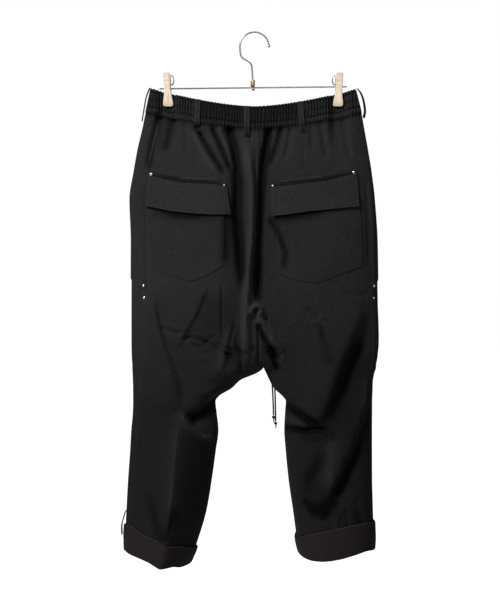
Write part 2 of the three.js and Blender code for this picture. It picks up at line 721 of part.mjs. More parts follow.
// Side pocket patch: starts at the side seam on the back, goes round the side
// and ends on the front
function sidePocketPatch(leg) {
  const stops = [];
  const outer = [];
  const inner = [];
  for (let i = 0; i <= sidePocket.backSteps; i++) {
    stops.push({ side: faces.back, round: i / sidePocket.backSteps });
  }
  for (let i = 1; i <= sidePocket.frontSteps; i++) {
    stops.push({ side: faces.front, round: i / sidePocket.frontSteps });
  }
  for (let j = 0; j <= sidePocket.rows; j++) {
    const outerRow = [];
    const innerRow = [];
    for (const { side, round } of stops) {
      const onBack = side === faces.back;
      const foot = onBack
        ? lerp(sidePocket.seamFoot, sidePocket.edgeFoot, round)
        : lerp(sidePocket.edgeFoot, sidePocket.frontFoot, round);
      const z = lerp(sidePocket.top, foot, j / sidePocket.rows);
      const outerX = read(leg.sections, "outer", z);
      const innerX = read(leg.sections, "inner", z);
      const seamX = read(leg.sections, "seam", z) + leg.side * sidePocket.fromSeam;
      const frontX = lerp(innerX, outerX, sidePocket.frontShare);
      const turn = (round * Math.PI) / 2;
      const x = onBack
        ? lerp(seamX, outerX, Math.sin(turn))
        : lerp(outerX, frontX, 1 - Math.cos(turn));
      outerRow.push(skinPoint(leg, side, x, z, sidePocket.off + clothWall));
      innerRow.push(skinPoint(leg, side, x, z, sidePocket.off));
    }
    outer.push(outerRow);
    inner.push(innerRow);
  }
  const outward = new THREE.Vector3(0, -1, 0);
  add(`side_pocket_${leg.name}`, wallGeometry(outer, inner, outward), twill);
}

function rivetOn(name, leg, x, z, off) {
  const profile = [
    new THREE.Vector2(0, 0),
    new THREE.Vector2(rivet.radius, 0),
    new THREE.Vector2(rivet.radius, rivet.height * 0.4),
    new THREE.Vector2(rivet.radius * 0.6, rivet.height * 0.9),
    new THREE.Vector2(0, rivet.height),
  ];
  const mesh = add(`rivet_${name}`, new THREE.LatheGeometry(profile, rivet.sides), rivetMetal);
  mesh.position.copy(skinPoint(leg, faces.back, x, z, off));
  const outward = outwardAt(leg, faces.back, x, z);
  mesh.quaternion.setFromUnitVectors(new THREE.Vector3(0, 1, 0), outward);
}

function flapRivets(pocket) {
  const [innerX, outerX] = [pocket.flapTop[0][0], pocket.flapTop[3][0]];
  const onFlap = layGap + clothWall + rivet.lift + rivet.flapRise;
  for (const [end, from, step] of [["inner", innerX, 1], ["outer", outerX, -1]]) {
    const x = from + step * pocket.leg.side * rivet.inset;
    const z = edgeAt(pocket.flapTop, x) - rivet.drop;
    rivetOn(`flap_${pocket.name}_${end}`, pocket.leg, x, z, onFlap);
  }
}

function faceLoop(loop) {
  const outer = [];
  const inner = [];
  const top = waistCurve(waistTop, loop.top) - loopDrop;
  for (const { at, off } of loopBow) {
    const z = lerp(top, loop.low, at);
    const x = lerp(loop.top, loop.foot, at);
    const seam = waistCurve(waistSeam, x);
    const leg = legAt(x, z);
    const panel = depthAt(leg, loop.face, x, Math.min(z, seam));
    const onBand = bandDepth(loop.face, x, Math.max(z, seam), gather.height / 2);
    const under = lerp(panel, onBand, smooth((z - seam + loopTuck) / loopTuck));
    const layer = (extra) => {
      const y = loop.face.sign * (under + off + extra);
      return [-1, 1].map((s) => new THREE.Vector3(x + (s * loopWidth) / 2, y, z));
    };
    outer.push(layer(loopWall));
    inner.push(layer(0));
  }
  const outward = new THREE.Vector3(0, loop.face.sign, 0);
  add(`loop_${loop.name}`, wallGeometry(outer, inner, outward), twill);
}

function sideLoop(loop) {
  const turn = (loop.turn * Math.PI) / 180;
  const out = new THREE.Vector3(loop.side * Math.cos(turn), -Math.sin(turn), 0);
  const along = new THREE.Vector3(loop.side * Math.sin(turn), Math.cos(turn), 0);
  const layer = (extra) =>
    loop.bow.map(([x, z]) =>
      [-1, 1].map((s) =>
        new THREE.Vector3(x, 0, z)
          .addScaledVector(along, (s * loopWidth) / 2)
          .addScaledVector(out, extra),
      ),
    );
  add(`loop_${loop.name}`, wallGeometry(layer(loopWall), layer(0), out), twill);
}

// Half a turn-up, standing a little off the leg inside it
function cuffHalf(leg, face) {
  const outer = [];
  const inner = [];
  for (const up of cuffForm.rows) {
    const outerRow = [];
    const innerRow = [];
    for (let i = 0; i <= cuffForm.across; i++) {
      const angle = lerp(-90, 90, i / cuffForm.across);
      const rough = read(leg.cuff, "foot", 0.5, "t") + cuffForm.cutAbove;
      const t = shareAt(leg, rough, angle);
      const z = lerp(read(leg.cuff, "foot", t, "t"), read(leg.cuff, "top", t, "t"), up);
      const x = lerp(read(leg.sections, "inner", z), read(leg.sections, "outer", z), t);
      const off = cuffForm.stand + cuffForm.flare * up;
      outerRow.push(skinPoint(leg, face, x, z, off + cuffWall));
      innerRow.push(skinPoint(leg, face, x, z, off));
    }
    outer.push(outerRow);
    inner.push(innerRow);
  }
  const outward = new THREE.Vector3(0, face.sign, 0);
  add(`cuff_${face.name}_${leg.name}`, wallGeometry(outer, inner, outward), twill);
}

function tabOnCuff() {
  const half = cuffTab.width / 2;
  const layer = (extra) =>
    cuffTab.rows.map(([x, z]) => [-half, half].map((y) => new THREE.Vector3(x - extra, y, z)));
  const outward = new THREE.Vector3(-1, 0, 0);
  add("cuff_tab_left", wallGeometry(layer(cuffTab.wall), layer(0), outward), twill);
}

function roundSection(radius, sides) {
  const section = new THREE.Shape();
  for (let i = 0; i < sides; i++) {
    const angle = (2 * Math.PI * i) / sides;
    const method = i === 0 ? "moveTo" : "lineTo";
    section[method](radius * Math.cos(angle), radius * Math.sin(angle));
  }
  return section;
}

function tubeAlong(curve, radius, sides, steps) {
  return new THREE.ExtrudeGeometry(roundSection(radius, sides), { steps, extrudePath: curve });
}

function lathedDown(name, profile, sides, material, place) {
  const points = profile.map(([radius, height]) => new THREE.Vector2(radius, height));
  const geometry = new THREE.LatheGeometry(points, sides).rotateX(Math.PI / 2);
  const mesh = add(name, geometry, material);
  mesh.position.set(...place);
  return mesh;
}

function drawstring(cord) {
  const route = cord.route.map((p) => new THREE.Vector3(...p));
  const curve = new THREE.CatmullRomCurve3(route, false, "centripetal");
  add(`drawstring_${cord.name}`, tubeAlong(curve, cordRadius, cordSides, cordSteps), cordBlack);
  const end = cord.route[cord.route.length - 1];
  const foot = -knot.height - knot.tail;
  const profile = [
    [0, foot],
    [knot.tailRadius, foot],
    [knot.tailRadius, -knot.height],
    [knot.radius, -knot.height * 0.7],
    [knot.radius, -knot.height * 0.3],
    [knot.neck, 0],
    [0, 0],
  ];
  const place = [end[0], end[1], end[2] - seamGap];
  lathedDown(`knot_${cord.name}`, profile, cordSides, cordBlack, place);
}

function hangerHook() {
  const points = [];
  const turns = 12;
  for (let i = 0; i <= turns; i++) {
    const angle = (lerp(hookArc.from, hookArc.to, i / turns) * Math.PI) / 180;
    const [x, z] = hookArc.centre;
    points.push([x + hookArc.radius * Math.cos(angle), 0, z + hookArc.radius * Math.sin(angle)]);
  }
  const stem = hookStem.map(([x, z]) => [x, 0, z]);
  const path = [...points, ...stem].map((p) => new THREE.Vector3(...p));
  const curve = new THREE.CatmullRomCurve3(path, false, "centripetal");
  add("hook", tubeAlong(curve, wireRadius, 8, 34), steel);
  const tip = path[0];
  const ball = add("hook_tip", new THREE.SphereGeometry(hookBall.radius, 10, 6), steel);
  ball.position.set(tip.x + hookBall.shift, 0, tip.z - hookBall.radius - seamGap);
}

function rodHeight(x) {
  const share = (x - rod.left[0]) / (rod.right[0] - rod.left[0]);
  return lerp(rod.left[1], rod.right[1], share);
}

function hangerRod() {
  const from = new THREE.Vector3(rod.left[0], 0, rod.left[1]);
  const to = new THREE.Vector3(rod.right[0], 0, rod.right[1]);
  add("hanger_rod", tubeAlong(new THREE.LineCurve3(from, to), rod.radius, 10, 1), steel);
  const bar = rodHeight(ferrule.x) + rod.radius + seamGap;
  const high = ferrule.top - bar;
  const sleeve = [
    [0, 0],
    [ferrule.radius * ferrule.base, 0],
    [ferrule.radius, ferrule.foot],
    [ferrule.radius, high - ferrule.rim],
    [ferrule.radius * ferrule.neck, high],
    [0, high],
  ];
  lathedDown("ferrule", sleeve, 12, brass, [ferrule.x, 0, bar]);
  const under = rodHeight(ferrule.x) - rod.radius - seamGap;
  const stud = [
    [0, -rodStud.height],
    [rodStud.radius * rodStud.tip, -rodStud.height],
    [rodStud.radius, -rodStud.shoulder],
    [rodStud.radius, 0],
    [0, 0],
  ];
  lathedDown("hanger_stud", stud, 10, brass, [ferrule.x + rodStud.shift, 0, under]);
}

function pegJaw(clip, face) {
  const lean = clip.name === "left" ? 1 : -1;
  const layer = (name) =>
    jawRows.map((row) => {
      const middle = clip.x + lean * row.lean;
      const y = face.sign * row[name];
      return [-1, 1].map((s) => new THREE.Vector3(middle + (s * row.width) / 2, y, row.z));
    });
  const outward = new THREE.Vector3(0, face.sign, 0);
  const geometry = wallGeometry(layer("outer"), layer("inner"), outward);
  add(`peg_${clip.name}_${face.name}`, geometry, wood);
}

// Steel spring at the inboard side of each peg
function pegSpring(clip) {
  const inboard = clip.name === "left" ? 1 : -1;
  const middle = (springBulge.top + springBulge.foot) / 2;
  const half = (springBulge.top - springBulge.foot) / 2;
  const outline = new THREE.Shape();
  const steps = 8;
  for (let i = 0; i <= steps; i++) {
    const angle = lerp(-90, 90, i / steps) * (Math.PI / 180);
    const method = i === 0 ? "moveTo" : "lineTo";
    outline[method](inboard * springBulge.reach * Math.cos(angle), half * Math.sin(angle));
  }
  const thick = { depth: springBulge.depth * 2, bevelEnabled: false };
  const geometry = new THREE.ExtrudeGeometry(outline, thick);
  geometry.rotateX(Math.PI / 2);
  const mesh = add(`spring_${clip.name}`, geometry, steel);
  mesh.position.set(clip.x + inboard * springBulge.out, springBulge.depth, middle);
}

for (const leg of legs) {
  legPanel(leg, faces.back, 17, 0);
  legPanel(leg, faces.front, 9, 3);
  sidePocketPatch(leg);
  cuffHalf(leg, faces.back);
  cuffHalf(leg, faces.front);
}
waistband(faces.back, backBandRows);
waistband(faces.front, frontBandRows);
for (const pocket of pockets) {
  backPocket(pocket);
  pocketFlap(pocket);
  pocketWelt(pocket);
  flapRivets(pocket);
}
for (const { name, leg, x, z, onPatch } of sideRivets) {
  rivetOn(name, leg, x, z, (onPatch ? sidePocket.off + clothWall : 0) + rivet.lift);
}
faceLoops.forEach(faceLoop);
sideLoops.forEach(sideLoop);
tabOnCuff();
cords.forEach(drawstring);
hangerHook();
hangerRod();
for (const clip of clips) {
  pegJaw(clip, faces.back);
  pegJaw(clip, faces.front);
  pegSpring(clip);
}

export default trousers;
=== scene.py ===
# Black harem trousers on a clip hanger, seen from the back.
# Places and sizes are in millimetres in the dictionaries, metres in the meshes.
import math
import random

import bpy
import numpy as np
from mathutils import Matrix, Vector


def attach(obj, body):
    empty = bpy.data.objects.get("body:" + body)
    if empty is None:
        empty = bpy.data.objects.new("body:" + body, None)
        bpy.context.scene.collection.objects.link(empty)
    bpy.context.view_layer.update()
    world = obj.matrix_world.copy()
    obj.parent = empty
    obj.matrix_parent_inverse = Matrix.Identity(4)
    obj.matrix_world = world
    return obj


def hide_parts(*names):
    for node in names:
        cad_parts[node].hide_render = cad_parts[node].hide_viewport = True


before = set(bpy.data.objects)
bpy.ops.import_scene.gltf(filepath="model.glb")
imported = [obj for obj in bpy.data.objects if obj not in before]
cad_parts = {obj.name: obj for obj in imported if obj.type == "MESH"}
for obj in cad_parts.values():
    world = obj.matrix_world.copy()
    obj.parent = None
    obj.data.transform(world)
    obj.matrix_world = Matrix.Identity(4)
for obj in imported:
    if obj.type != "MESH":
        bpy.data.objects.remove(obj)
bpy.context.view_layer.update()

metre = 0.001  # one millimetre
collection = bpy.context.scene.collection


# Small helpers for values

def lerp(a, b, share):
    return a + (b - a) * share


def smooth(value):
    v = np.clip(value, 0, 1)
    return v * v * (3 - 2 * v)


def bell(distance, width):
    return np.exp(-(distance / width) ** 2)


def named(columns, rows):
    return {name: np.array([row[i] for row in rows], float) for i, name in enumerate(columns)}


def read(table, name, at, key="z"):
    # Value of a column at a height, on a curve that never overshoots its rows.
    xs, ys = table[key], table[name]
    if xs[0] > xs[-1]:
        xs, ys = xs[::-1], ys[::-1]
    x = np.clip(at, xs[0], xs[-1])
    k = np.clip(np.searchsorted(xs, x) - 1, 0, len(xs) - 2)
    slope = np.diff(ys) / np.diff(xs)
    product = slope[:-1] * slope[1:]
    total = np.where(slope[:-1] + slope[1:] == 0, 1, slope[:-1] + slope[1:])
    middle = np.where(product > 0, 2 * product / total, 0)
    tangent = np.concatenate([slope[:1], middle, slope[-1:]])
    span = xs[k + 1] - xs[k]
    s = (x - xs[k]) / span
    s2, s3 = s * s, s * s * s
    return ((2 * s3 - 3 * s2 + 1) * ys[k] + (s3 - 2 * s2 + s) * span * tangent[k]
            + (3 * s2 - 2 * s3) * ys[k + 1] + (s3 - s2) * span * tangent[k + 1])


def edgeAt(points, x):
    ordered = sorted(points)
    return np.interp(x, [p[0] for p in ordered], [p[1] for p in ordered])


def ripple(x, z, size, seed):
    # Smooth uneven noise, about -1 to 1, with bumps about size apart.
    source = np.random.default_rng(seed)
    shuffled = source.permutation(256)
    turns = source.uniform(0, 2 * math.pi, 256)
    px, pz = np.broadcast_arrays(np.asarray(x, float) / (0.55 * size), np.asarray(z, float) / (0.55 * size))
    i, j = np.floor(px).astype(int), np.floor(pz).astype(int)
    u, v = px - i, pz - j

    def corner(di, dj):
        turn = turns[shuffled[(shuffled[(i + di) & 255] + j + dj) & 255]]
        return np.cos(turn) * (u - di) + np.sin(turn) * (v - dj)
    fadeU, fadeV = smooth(u), smooth(v)
    low = lerp(corner(0, 0), corner(1, 0), fadeU)
    return 1.7 * lerp(low, lerp(corner(0, 1), corner(1, 1), fadeU), fadeV)


# Helpers for meshes

def finishPiece(piece, material, nodes=()):
    if piece.name not in collection.objects:
        collection.objects.link(piece)
    piece.data.materials.clear()
    piece.data.materials.append(material)
    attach(piece, "root")
    if nodes:
        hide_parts(*nodes)
    return piece


def meshPiece(name, points, faces, uv=None, wearAndPaintedLight=None, sharpAngle=50):
    mesh = bpy.data.meshes.new(name)
    mesh.from_pydata((np.asarray(points) * metre).tolist(), [], np.asarray(faces).tolist()
                     if isinstance(faces, np.ndarray) else faces)
    mesh.polygons.foreach_set("use_smooth", [True] * len(mesh.polygons))
    if uv is not None:
        layer = mesh.uv_layers.new(name="cloth")
        corner = np.empty(len(mesh.loops), dtype=np.int32)
        mesh.loops.foreach_get("vertex_index", corner)
        layer.data.foreach_set("uv", (np.asarray(uv)[corner] * metre).ravel())
    # Per-point mark: painted shade and painted highlight with rubbed edges on cloth, wear on wood.
    if wearAndPaintedLight is not None:
        mesh.attributes.new("wearAndPaintedLight", "FLOAT", "POINT").data.foreach_set("value", np.ravel(wearAndPaintedLight))
    mesh.update()
    mesh.set_sharp_from_angle(angle=math.radians(sharpAngle))
    return bpy.data.objects.new(name, mesh)


def gridNormals(grid, towards):
    across = np.gradient(grid, axis=1)
    down = np.gradient(grid, axis=0)
    normal = np.cross(across, down)
    normal /= np.maximum(np.linalg.norm(normal, axis=2, keepdims=True), 1e-9)
    if np.sum(normal * towards) < 0:
        normal = -normal
    return normal


def alongRows(grid):
    step = np.linalg.norm(np.diff(grid, axis=1), axis=2)
    return np.concatenate([np.zeros((grid.shape[0], 1)), np.cumsum(step, axis=1)], axis=1)


def alongColumns(grid):
    step = np.linalg.norm(np.diff(grid, axis=0), axis=2)
    return np.concatenate([np.zeros((1, grid.shape[1])), np.cumsum(step, axis=0)], axis=0)


def clothShell(name, outer, inner, wearAndPaintedLight=None, sharpAngle=50):
    # Closed thin wall between two grids of points, with cloth lengths as its UVs.
    rows, columns = outer.shape[:2]
    count = rows * columns
    index = np.arange(count).reshape(rows, columns)
    front = np.stack([index[:-1, :-1], index[:-1, 1:], index[1:, 1:], index[1:, :-1]], -1).reshape(-1, 4)
    rim = np.concatenate([index[0], index[1:, -1], index[-1, -2::-1], index[-2::-1, 0]])
    start, end = rim[:-1], rim[1:]
    sides = np.stack([end, start, start + count, end + count], -1)
    faces = np.concatenate([front, front[:, ::-1] + count, sides])
    cross = np.cross(outer[:-1, 1:] - outer[:-1, :-1], outer[1:, :-1] - outer[:-1, :-1])
    if np.sum(cross * (outer - inner)[:-1, :-1]) < 0:
        faces = faces[:, ::-1]
    u, v = alongRows(outer), alongColumns(outer)
    uv = np.stack([u - u[:, -1:] / 2, -v], -1).reshape(-1, 2)
    # The mark lies on the outer wall only: painted shade, painted highlight and rubbed edges.
    wornAndPaintedLight = np.zeros((rows, columns)) if wearAndPaintedLight is None else wearAndPaintedLight
    points = np.concatenate([outer.reshape(-1, 3), inner.reshape(-1, 3)])
    return meshPiece(name, points, faces, np.concatenate([uv, uv]),
                     np.concatenate([wornAndPaintedLight.ravel(), wornAndPaintedLight.ravel() * 0]), sharpAngle)


def borderSteps(length, step, border=(0, 0.35, 0.8, 1.4, 2.1, 2.8, 3.6, 4.6)):
    # Shares from 0 to 1 with close steps at both ends, for edges and stitch lines.
    near = [b for b in border if b < length * 0.35]
    count = max(2, int(round((length - 2 * near[-1]) / step)))
    middle = np.linspace(near[-1], length - near[-1], count + 1)[1:-1]
    return np.array(near + list(middle) + [length - b for b in reversed(near)]) / length


def smoothPath(points, count):
    # Centripetal Catmull-Rom curve through the points.
    p = np.array(points, float)
    p = np.concatenate([[2 * p[0] - p[1]], p, [2 * p[-1] - p[-2]]])
    knots = np.concatenate([[0], np.cumsum(np.sqrt(np.linalg.norm(np.diff(p, axis=0), axis=1)))])
    out = []
    for at in np.linspace(knots[1], knots[-2], count):
        k = int(np.clip(np.searchsorted(knots, at, side="right") - 1, 1, len(p) - 3))
        t0, t1, t2, t3 = knots[k - 1:k + 3]
        a1 = lerp(p[k - 1], p[k], (at - t0) / (t1 - t0))
        a2 = lerp(p[k], p[k + 1], (at - t1) / (t2 - t1))
        a3 = lerp(p[k + 1], p[k + 2], (at - t2) / (t3 - t2))
        b1 = lerp(a1, a2, (at - t0) / (t2 - t0))
        b2 = lerp(a2, a3, (at - t1) / (t3 - t1))
        out.append(lerp(b1, b2, (at - t1) / (t2 - t1)))
    return np.array(out)


def ringFaces(rings, sides):
    # Faces between rings of points, closed flat at both ends.
    faces = []
    for j in range(rings - 1):
        for i in range(sides):
            n = (i + 1) % sides
            faces.append((j * sides + i, j * sides + n, (j + 1) * sides + n, (j + 1) * sides + i))
    faces.append(tuple(range(sides))[::-1])
    faces.append(tuple((rings - 1) * sides + i for i in range(sides)))
    return faces


def tube(path, radii, sides=16):
    # Points and faces of a tube with closed ends.
    path = np.asarray(path, float)
    radii = np.broadcast_to(radii, len(path))
    tangent = np.gradient(path, axis=0)
    tangent /= np.linalg.norm(tangent, axis=1, keepdims=True)
    first = np.array([0, 1, 0]) if abs(tangent[0][1]) < 0.9 else np.array([1, 0, 0])
    side = np.cross(tangent[0], first)
    points = []
    angle = np.linspace(0, 2 * math.pi, sides, endpoint=False)
    for centre, direction, radius in zip(path, tangent, radii):
        side = side - direction * np.dot(side, direction)
        side = side / np.linalg.norm(side)
        other = np.cross(direction, side)
        points.append(centre + radius * (np.outer(np.cos(angle), side) + np.outer(np.sin(angle), other)))
    return np.concatenate(points), ringFaces(len(path), sides)


def lathe(profile, sides=32):
    # Points and faces turned round Z from (radius, height) pairs, lowest first.
    angle = np.linspace(0, 2 * math.pi, sides, endpoint=False)
    points = [(r * math.cos(a), r * math.sin(a), h) for r, h in profile for a in angle]
    return np.array(points), ringFaces(len(profile), sides)


def joinParts(parts):
    # One list of points and faces from several.
    points, faces, start = [], [], 0
    for partPoints, partFaces in parts:
        points.append(partPoints)
        faces += [tuple(int(v) + start for v in face) for face in partFaces]
        start += len(partPoints)
    return np.concatenate(points), faces


# Camera: level, straight at the back of the trousers

camera = {"place": (-8.3, -2000, -495.8), "lens": 64.65, "sensorHeight": 36}


def setCamera():
    data = bpy.data.cameras.new("camera")
    data.sensor_fit = "VERTICAL"
    data.sensor_height = camera["sensorHeight"]
    data.lens = camera["lens"]
    view = bpy.data.objects.new("camera", data)
    view.location = [v * metre for v in camera["place"]]
    view.rotation_euler = (math.radians(90), 0, 0)
    collection.objects.link(view)
    bpy.context.scene.camera = view


setCamera()
print("camera set")


# Materials: node helpers first

def nodeGroup(name, inputs, outputs):
    group = bpy.data.node_groups.new(name, "ShaderNodeTree")
    for label, kind, value in inputs:
        socket = group.interface.new_socket(name=label, in_out="INPUT", socket_type=kind)
        if value is not None:
            socket.default_value = value
    for label, kind in outputs:
        group.interface.new_socket(name=label, in_out="OUTPUT", socket_type=kind)
    return group, group.nodes.new("NodeGroupInput"), group.nodes.new("NodeGroupOutput")


def put(tree, kind, **settings):
    node = tree.nodes.new(kind)
    for key, value in settings.items():
        setattr(node, key, value)
    return node


def feed(tree, socket, value):
    if isinstance(value, bpy.types.NodeSocket):
        tree.links.new(value, socket)
    elif value is not None:
        socket.default_value = value


def fill(tree, node, **values):
    # Inputs by their labels, with _ for a space.
    for label, value in values.items():
        feed(tree, node.inputs[label.replace("_", " ")], value)
    return node


def mathNode(tree, operation, a, b=None, c=None):
    node = put(tree, "ShaderNodeMath", operation=operation)
    for socket, value in zip(node.inputs, (a, b, c)):
        feed(tree, socket, value)
    return node.outputs[0]


def calculator(tree):
    return lambda operation, *values: mathNode(tree, operation, *values)


def noiseNode(tree, vector, scale, detail=2.0, roughness=0.5):
    node = put(tree, "ShaderNodeTexNoise")
    return fill(tree, node, Vector=vector, Scale=scale, Detail=detail, Roughness=roughness).outputs["Fac"]


def rangeNode(tree, value, fromLow, fromHigh, toLow, toHigh):
    node = put(tree, "ShaderNodeMapRange")
    return fill(tree, node, Value=value, From_Min=fromLow, From_Max=fromHigh,
                To_Min=toLow, To_Max=toHigh).outputs["Result"]


def mixColour(tree, share, a, b, blend="MIX"):
    node = put(tree, "ShaderNodeMix", data_type="RGBA", blend_type=blend)
    return fill(tree, node, Factor=share, A=a, B=b).outputs["Result"]


def splitVector(tree, vector):
    return fill(tree, put(tree, "ShaderNodeSeparateXYZ"), Vector=vector).outputs


def twillWeaveGroup():
    # Fine diagonal ribs with a little wander and fuzz, from cloth lengths in metres.
    group, given, result = nodeGroup(
        "twillWeave",
        [("Vector", "NodeSocketVector", None), ("Ribs Per Metre", "NodeSocketFloat", 900.0),
         ("Unevenness", "NodeSocketFloat", 0.5)],
        [("Height", "NodeSocketFloat"), ("Rib", "NodeSocketFloat")])
    calc = calculator(group)
    split = splitVector(group, given.outputs["Vector"])
    drift = noiseNode(group, given.outputs["Vector"], 60.0, 3.0)
    wander = calc("MULTIPLY", calc("SUBTRACT", drift, 0.5), given.outputs["Unevenness"])
    diagonal = calc("ADD", split["X"], calc("MULTIPLY", split["Y"], 1.35))
    turns = calc("MULTIPLY", diagonal, calc("MULTIPLY", given.outputs["Ribs Per Metre"], 6.283))
    wave = calc("SINE", calc("ADD", turns, calc("MULTIPLY", wander, 5.0)))
    rib = calc("MULTIPLY_ADD", wave, 0.5, 0.5)
    fuzz = noiseNode(group, given.outputs["Vector"], 1700.0, 2.0, 0.6)
    height = calc("ADD", calc("MULTIPLY", rib, 0.6), calc("MULTIPLY", fuzz, 0.5))
    fill(group, result, Height=height, Rib=rib)
    return group


def clothToneGroup():
    # Colour that drifts over the cloth, with painted shade towards the bottom. Lighter where the mark is
    # above 0 (rubbed edges and painted highlight on crests), painted shade where it is below 0, with sparse
    # lint.
    group, given, result = nodeGroup(
        "clothTone",
        [("Vector", "NodeSocketVector", None), ("High", "NodeSocketColor", (0.02, 0.02, 0.02, 1)),
         ("Low", "NodeSocketColor", (0.02, 0.02, 0.02, 1)), ("Wear", "NodeSocketFloat", 0.0),
         ("Rib", "NodeSocketFloat", 0.5), ("Drift", "NodeSocketFloat", 0.2),
         ("Worn", "NodeSocketColor", (0.06, 0.06, 0.065, 1))],
        [("Color", "NodeSocketColor"), ("Roughness", "NodeSocketFloat"), ("Height", "NodeSocketFloat")])
    calc = calculator(group)
    split = splitVector(group, given.outputs["Vector"])
    # Darker towards the bottom: the Low colour below is painted shade, with a warmer tint than the cool
    # High colour above.
    level = rangeNode(group, split["Z"], -0.72, -0.46, 0.0, 1.0)
    base = mixColour(group, level, given.outputs["Low"], given.outputs["High"])
    broad = noiseNode(group, given.outputs["Vector"], 7.0, 3.0)
    small = noiseNode(group, given.outputs["Vector"], 90.0, 4.0, 0.6)
    grain = noiseNode(group, given.outputs["Vector"], 330.0, 3.0, 0.7)
    fine = calc("MULTIPLY_ADD", grain, 6.0, calc("MULTIPLY_ADD", small, 1.0, -3.0))
    both = calc("ADD", calc("MULTIPLY", broad, 0.6), calc("MULTIPLY", fine, 0.4))
    spread = calc("MULTIPLY", calc("SUBTRACT", both, 0.5), given.outputs["Drift"])
    ribShade = calc("MULTIPLY", calc("SUBTRACT", given.outputs["Rib"], 0.5), 0.25)
    # Painted shade where the mark is below 0.
    hollowShade = calc("MULTIPLY_ADD", calc("MINIMUM", given.outputs["Wear"], 0.0), 0.8, 1.0)
    gain = calc("MULTIPLY", calc("ADD", calc("ADD", spread, ribShade), 1.0), hollowShade)
    scaled = put(group, "ShaderNodeVectorMath", operation="SCALE")
    feed(group, scaled.inputs[0], base)
    feed(group, scaled.inputs["Scale"], gain)
    # Lighter where the mark is above 0: rubbed edges and painted highlight.
    rubbed = calc("MULTIPLY", calc("MAXIMUM", given.outputs["Wear"], 0.0), 0.45)
    wornAndPaintedLight = mixColour(group, rubbed, scaled.outputs[0], given.outputs["Worn"])
    speck = noiseNode(group, given.outputs["Vector"], 620.0, 1.0)
    lint = rangeNode(group, speck, 0.79, 0.84, 0.0, 0.35)
    fill(group, result, Color=mixColour(group, lint, wornAndPaintedLight, (0.16, 0.16, 0.165, 1)), Height=small,
         Roughness=rangeNode(group, small, 0.25, 0.75, 0.74, 0.94))
    return group


def metalWearGroup():
    # Brushed and lightly scratched metal.
    group, given, result = nodeGroup(
        "metalWear",
        [("Vector", "NodeSocketVector", None), ("Stretch", "NodeSocketVector", (1, 1, 8)),
         ("Clean", "NodeSocketColor", (0.6, 0.6, 0.6, 1)), ("Dull", "NodeSocketColor", (0.3, 0.3, 0.3, 1)),
         ("Low Roughness", "NodeSocketFloat", 0.2), ("High Roughness", "NodeSocketFloat", 0.45)],
        [("Color", "NodeSocketColor"), ("Roughness", "NodeSocketFloat"), ("Height", "NodeSocketFloat")])
    calc = calculator(group)
    scale = put(group, "ShaderNodeVectorMath", operation="MULTIPLY")
    feed(group, scale.inputs[0], given.outputs["Vector"])
    feed(group, scale.inputs[1], given.outputs["Stretch"])
    brushed = noiseNode(group, scale.outputs[0], 260.0, 4.0, 0.65)
    patches = noiseNode(group, given.outputs["Vector"], 70.0, 3.0)
    dull = rangeNode(group, patches, 0.42, 0.72, 0.0, 0.8)
    colour = mixColour(group, dull, given.outputs["Clean"], given.outputs["Dull"])
    rough = calc("MULTIPLY_ADD", brushed, 0.5, calc("MULTIPLY", dull, 0.5))
    ends = given.outputs["Low Roughness"], given.outputs["High Roughness"]
    fill(group, result, Color=colour, Roughness=rangeNode(group, rough, 0.0, 1.0, *ends), Height=brushed)
    return group


def threadTwistGroup():
    # Twisted yarn: slanting strands that cross, for the cord and the sewing thread.
    group, given, result = nodeGroup(
        "threadTwist",
        [("Vector", "NodeSocketVector", None), ("Strands Per Metre", "NodeSocketFloat", 400.0)],
        [("Height", "NodeSocketFloat"), ("Shade", "NodeSocketFloat")])
    calc = calculator(group)
    split = splitVector(group, given.outputs["Vector"])
    turns = calc("MULTIPLY", given.outputs["Strands Per Metre"], 6.283)
    ways = [calc("SINE", calc("MULTIPLY", calc(way, split["Z"], split["X"]), turns))
            for way in ("ADD", "SUBTRACT")]
    crossed = calc("MULTIPLY_ADD", calc("MAXIMUM", *ways), 0.5, 0.5)
    fuzz = noiseNode(group, given.outputs["Vector"], 1500.0, 2.0)
    fill(group, result, Height=calc("MULTIPLY_ADD", fuzz, 0.35, crossed), Shade=crossed)
    return group


twillWeave = twillWeaveGroup()
clothTone = clothToneGroup()
metalWear = metalWearGroup()
threadTwist = threadTwistGroup()


def newMaterial(name):
    # Its tree, its shader and the places on the piece.
    material = bpy.data.materials.new(name)
    material.use_nodes = True
    tree = material.node_tree
    tree.nodes.clear()
    shader = put(tree, "ShaderNodeBsdfPrincipled")
    output = put(tree, "ShaderNodeOutputMaterial")
    tree.links.new(shader.outputs[0], output.inputs["Surface"])
    return material, tree, shader, put(tree, "ShaderNodeTexCoord").outputs


def placeGroup(tree, group, **values):
    return fill(tree, put(tree, "ShaderNodeGroup", node_tree=group), **values).outputs


def bump(tree, shader, height, strength, distance):
    node = fill(tree, put(tree, "ShaderNodeBump"), Height=height, Strength=strength, Distance=distance)
    fill(tree, shader, Normal=node.outputs["Normal"])


cloth = {
    # High above, Low below: the darker Low colour of the lower legs is painted shade.
    "high": (0.0148, 0.0160, 0.0177, 1),  # seat and hips, a cool black
    "low": (0.0086, 0.0080, 0.0083, 1),  # lower legs, nearly neutral
    # Flaps, welts and loops use a lighter copy of the seat colour: painted light.
    "flap": (0.0174, 0.0180, 0.0194, 1),
    "band": (0.0162, 0.0161, 0.0172, 1),
    "cuff": (0.0142, 0.0110, 0.0110, 1),  # the turned-up side is warmer
    # Pale colour mixed in on rubbed edges and as painted highlight on crests.
    "wornAndPaintedLight": (0.045, 0.046, 0.050, 1),
    "ribsPerMetre": 850.0,
    "sheen": 0.03,
    "sheenRoughness": 0.45,
    "sheenTint": (0.55, 0.58, 0.64, 1),
    "specular": 0.04,
}


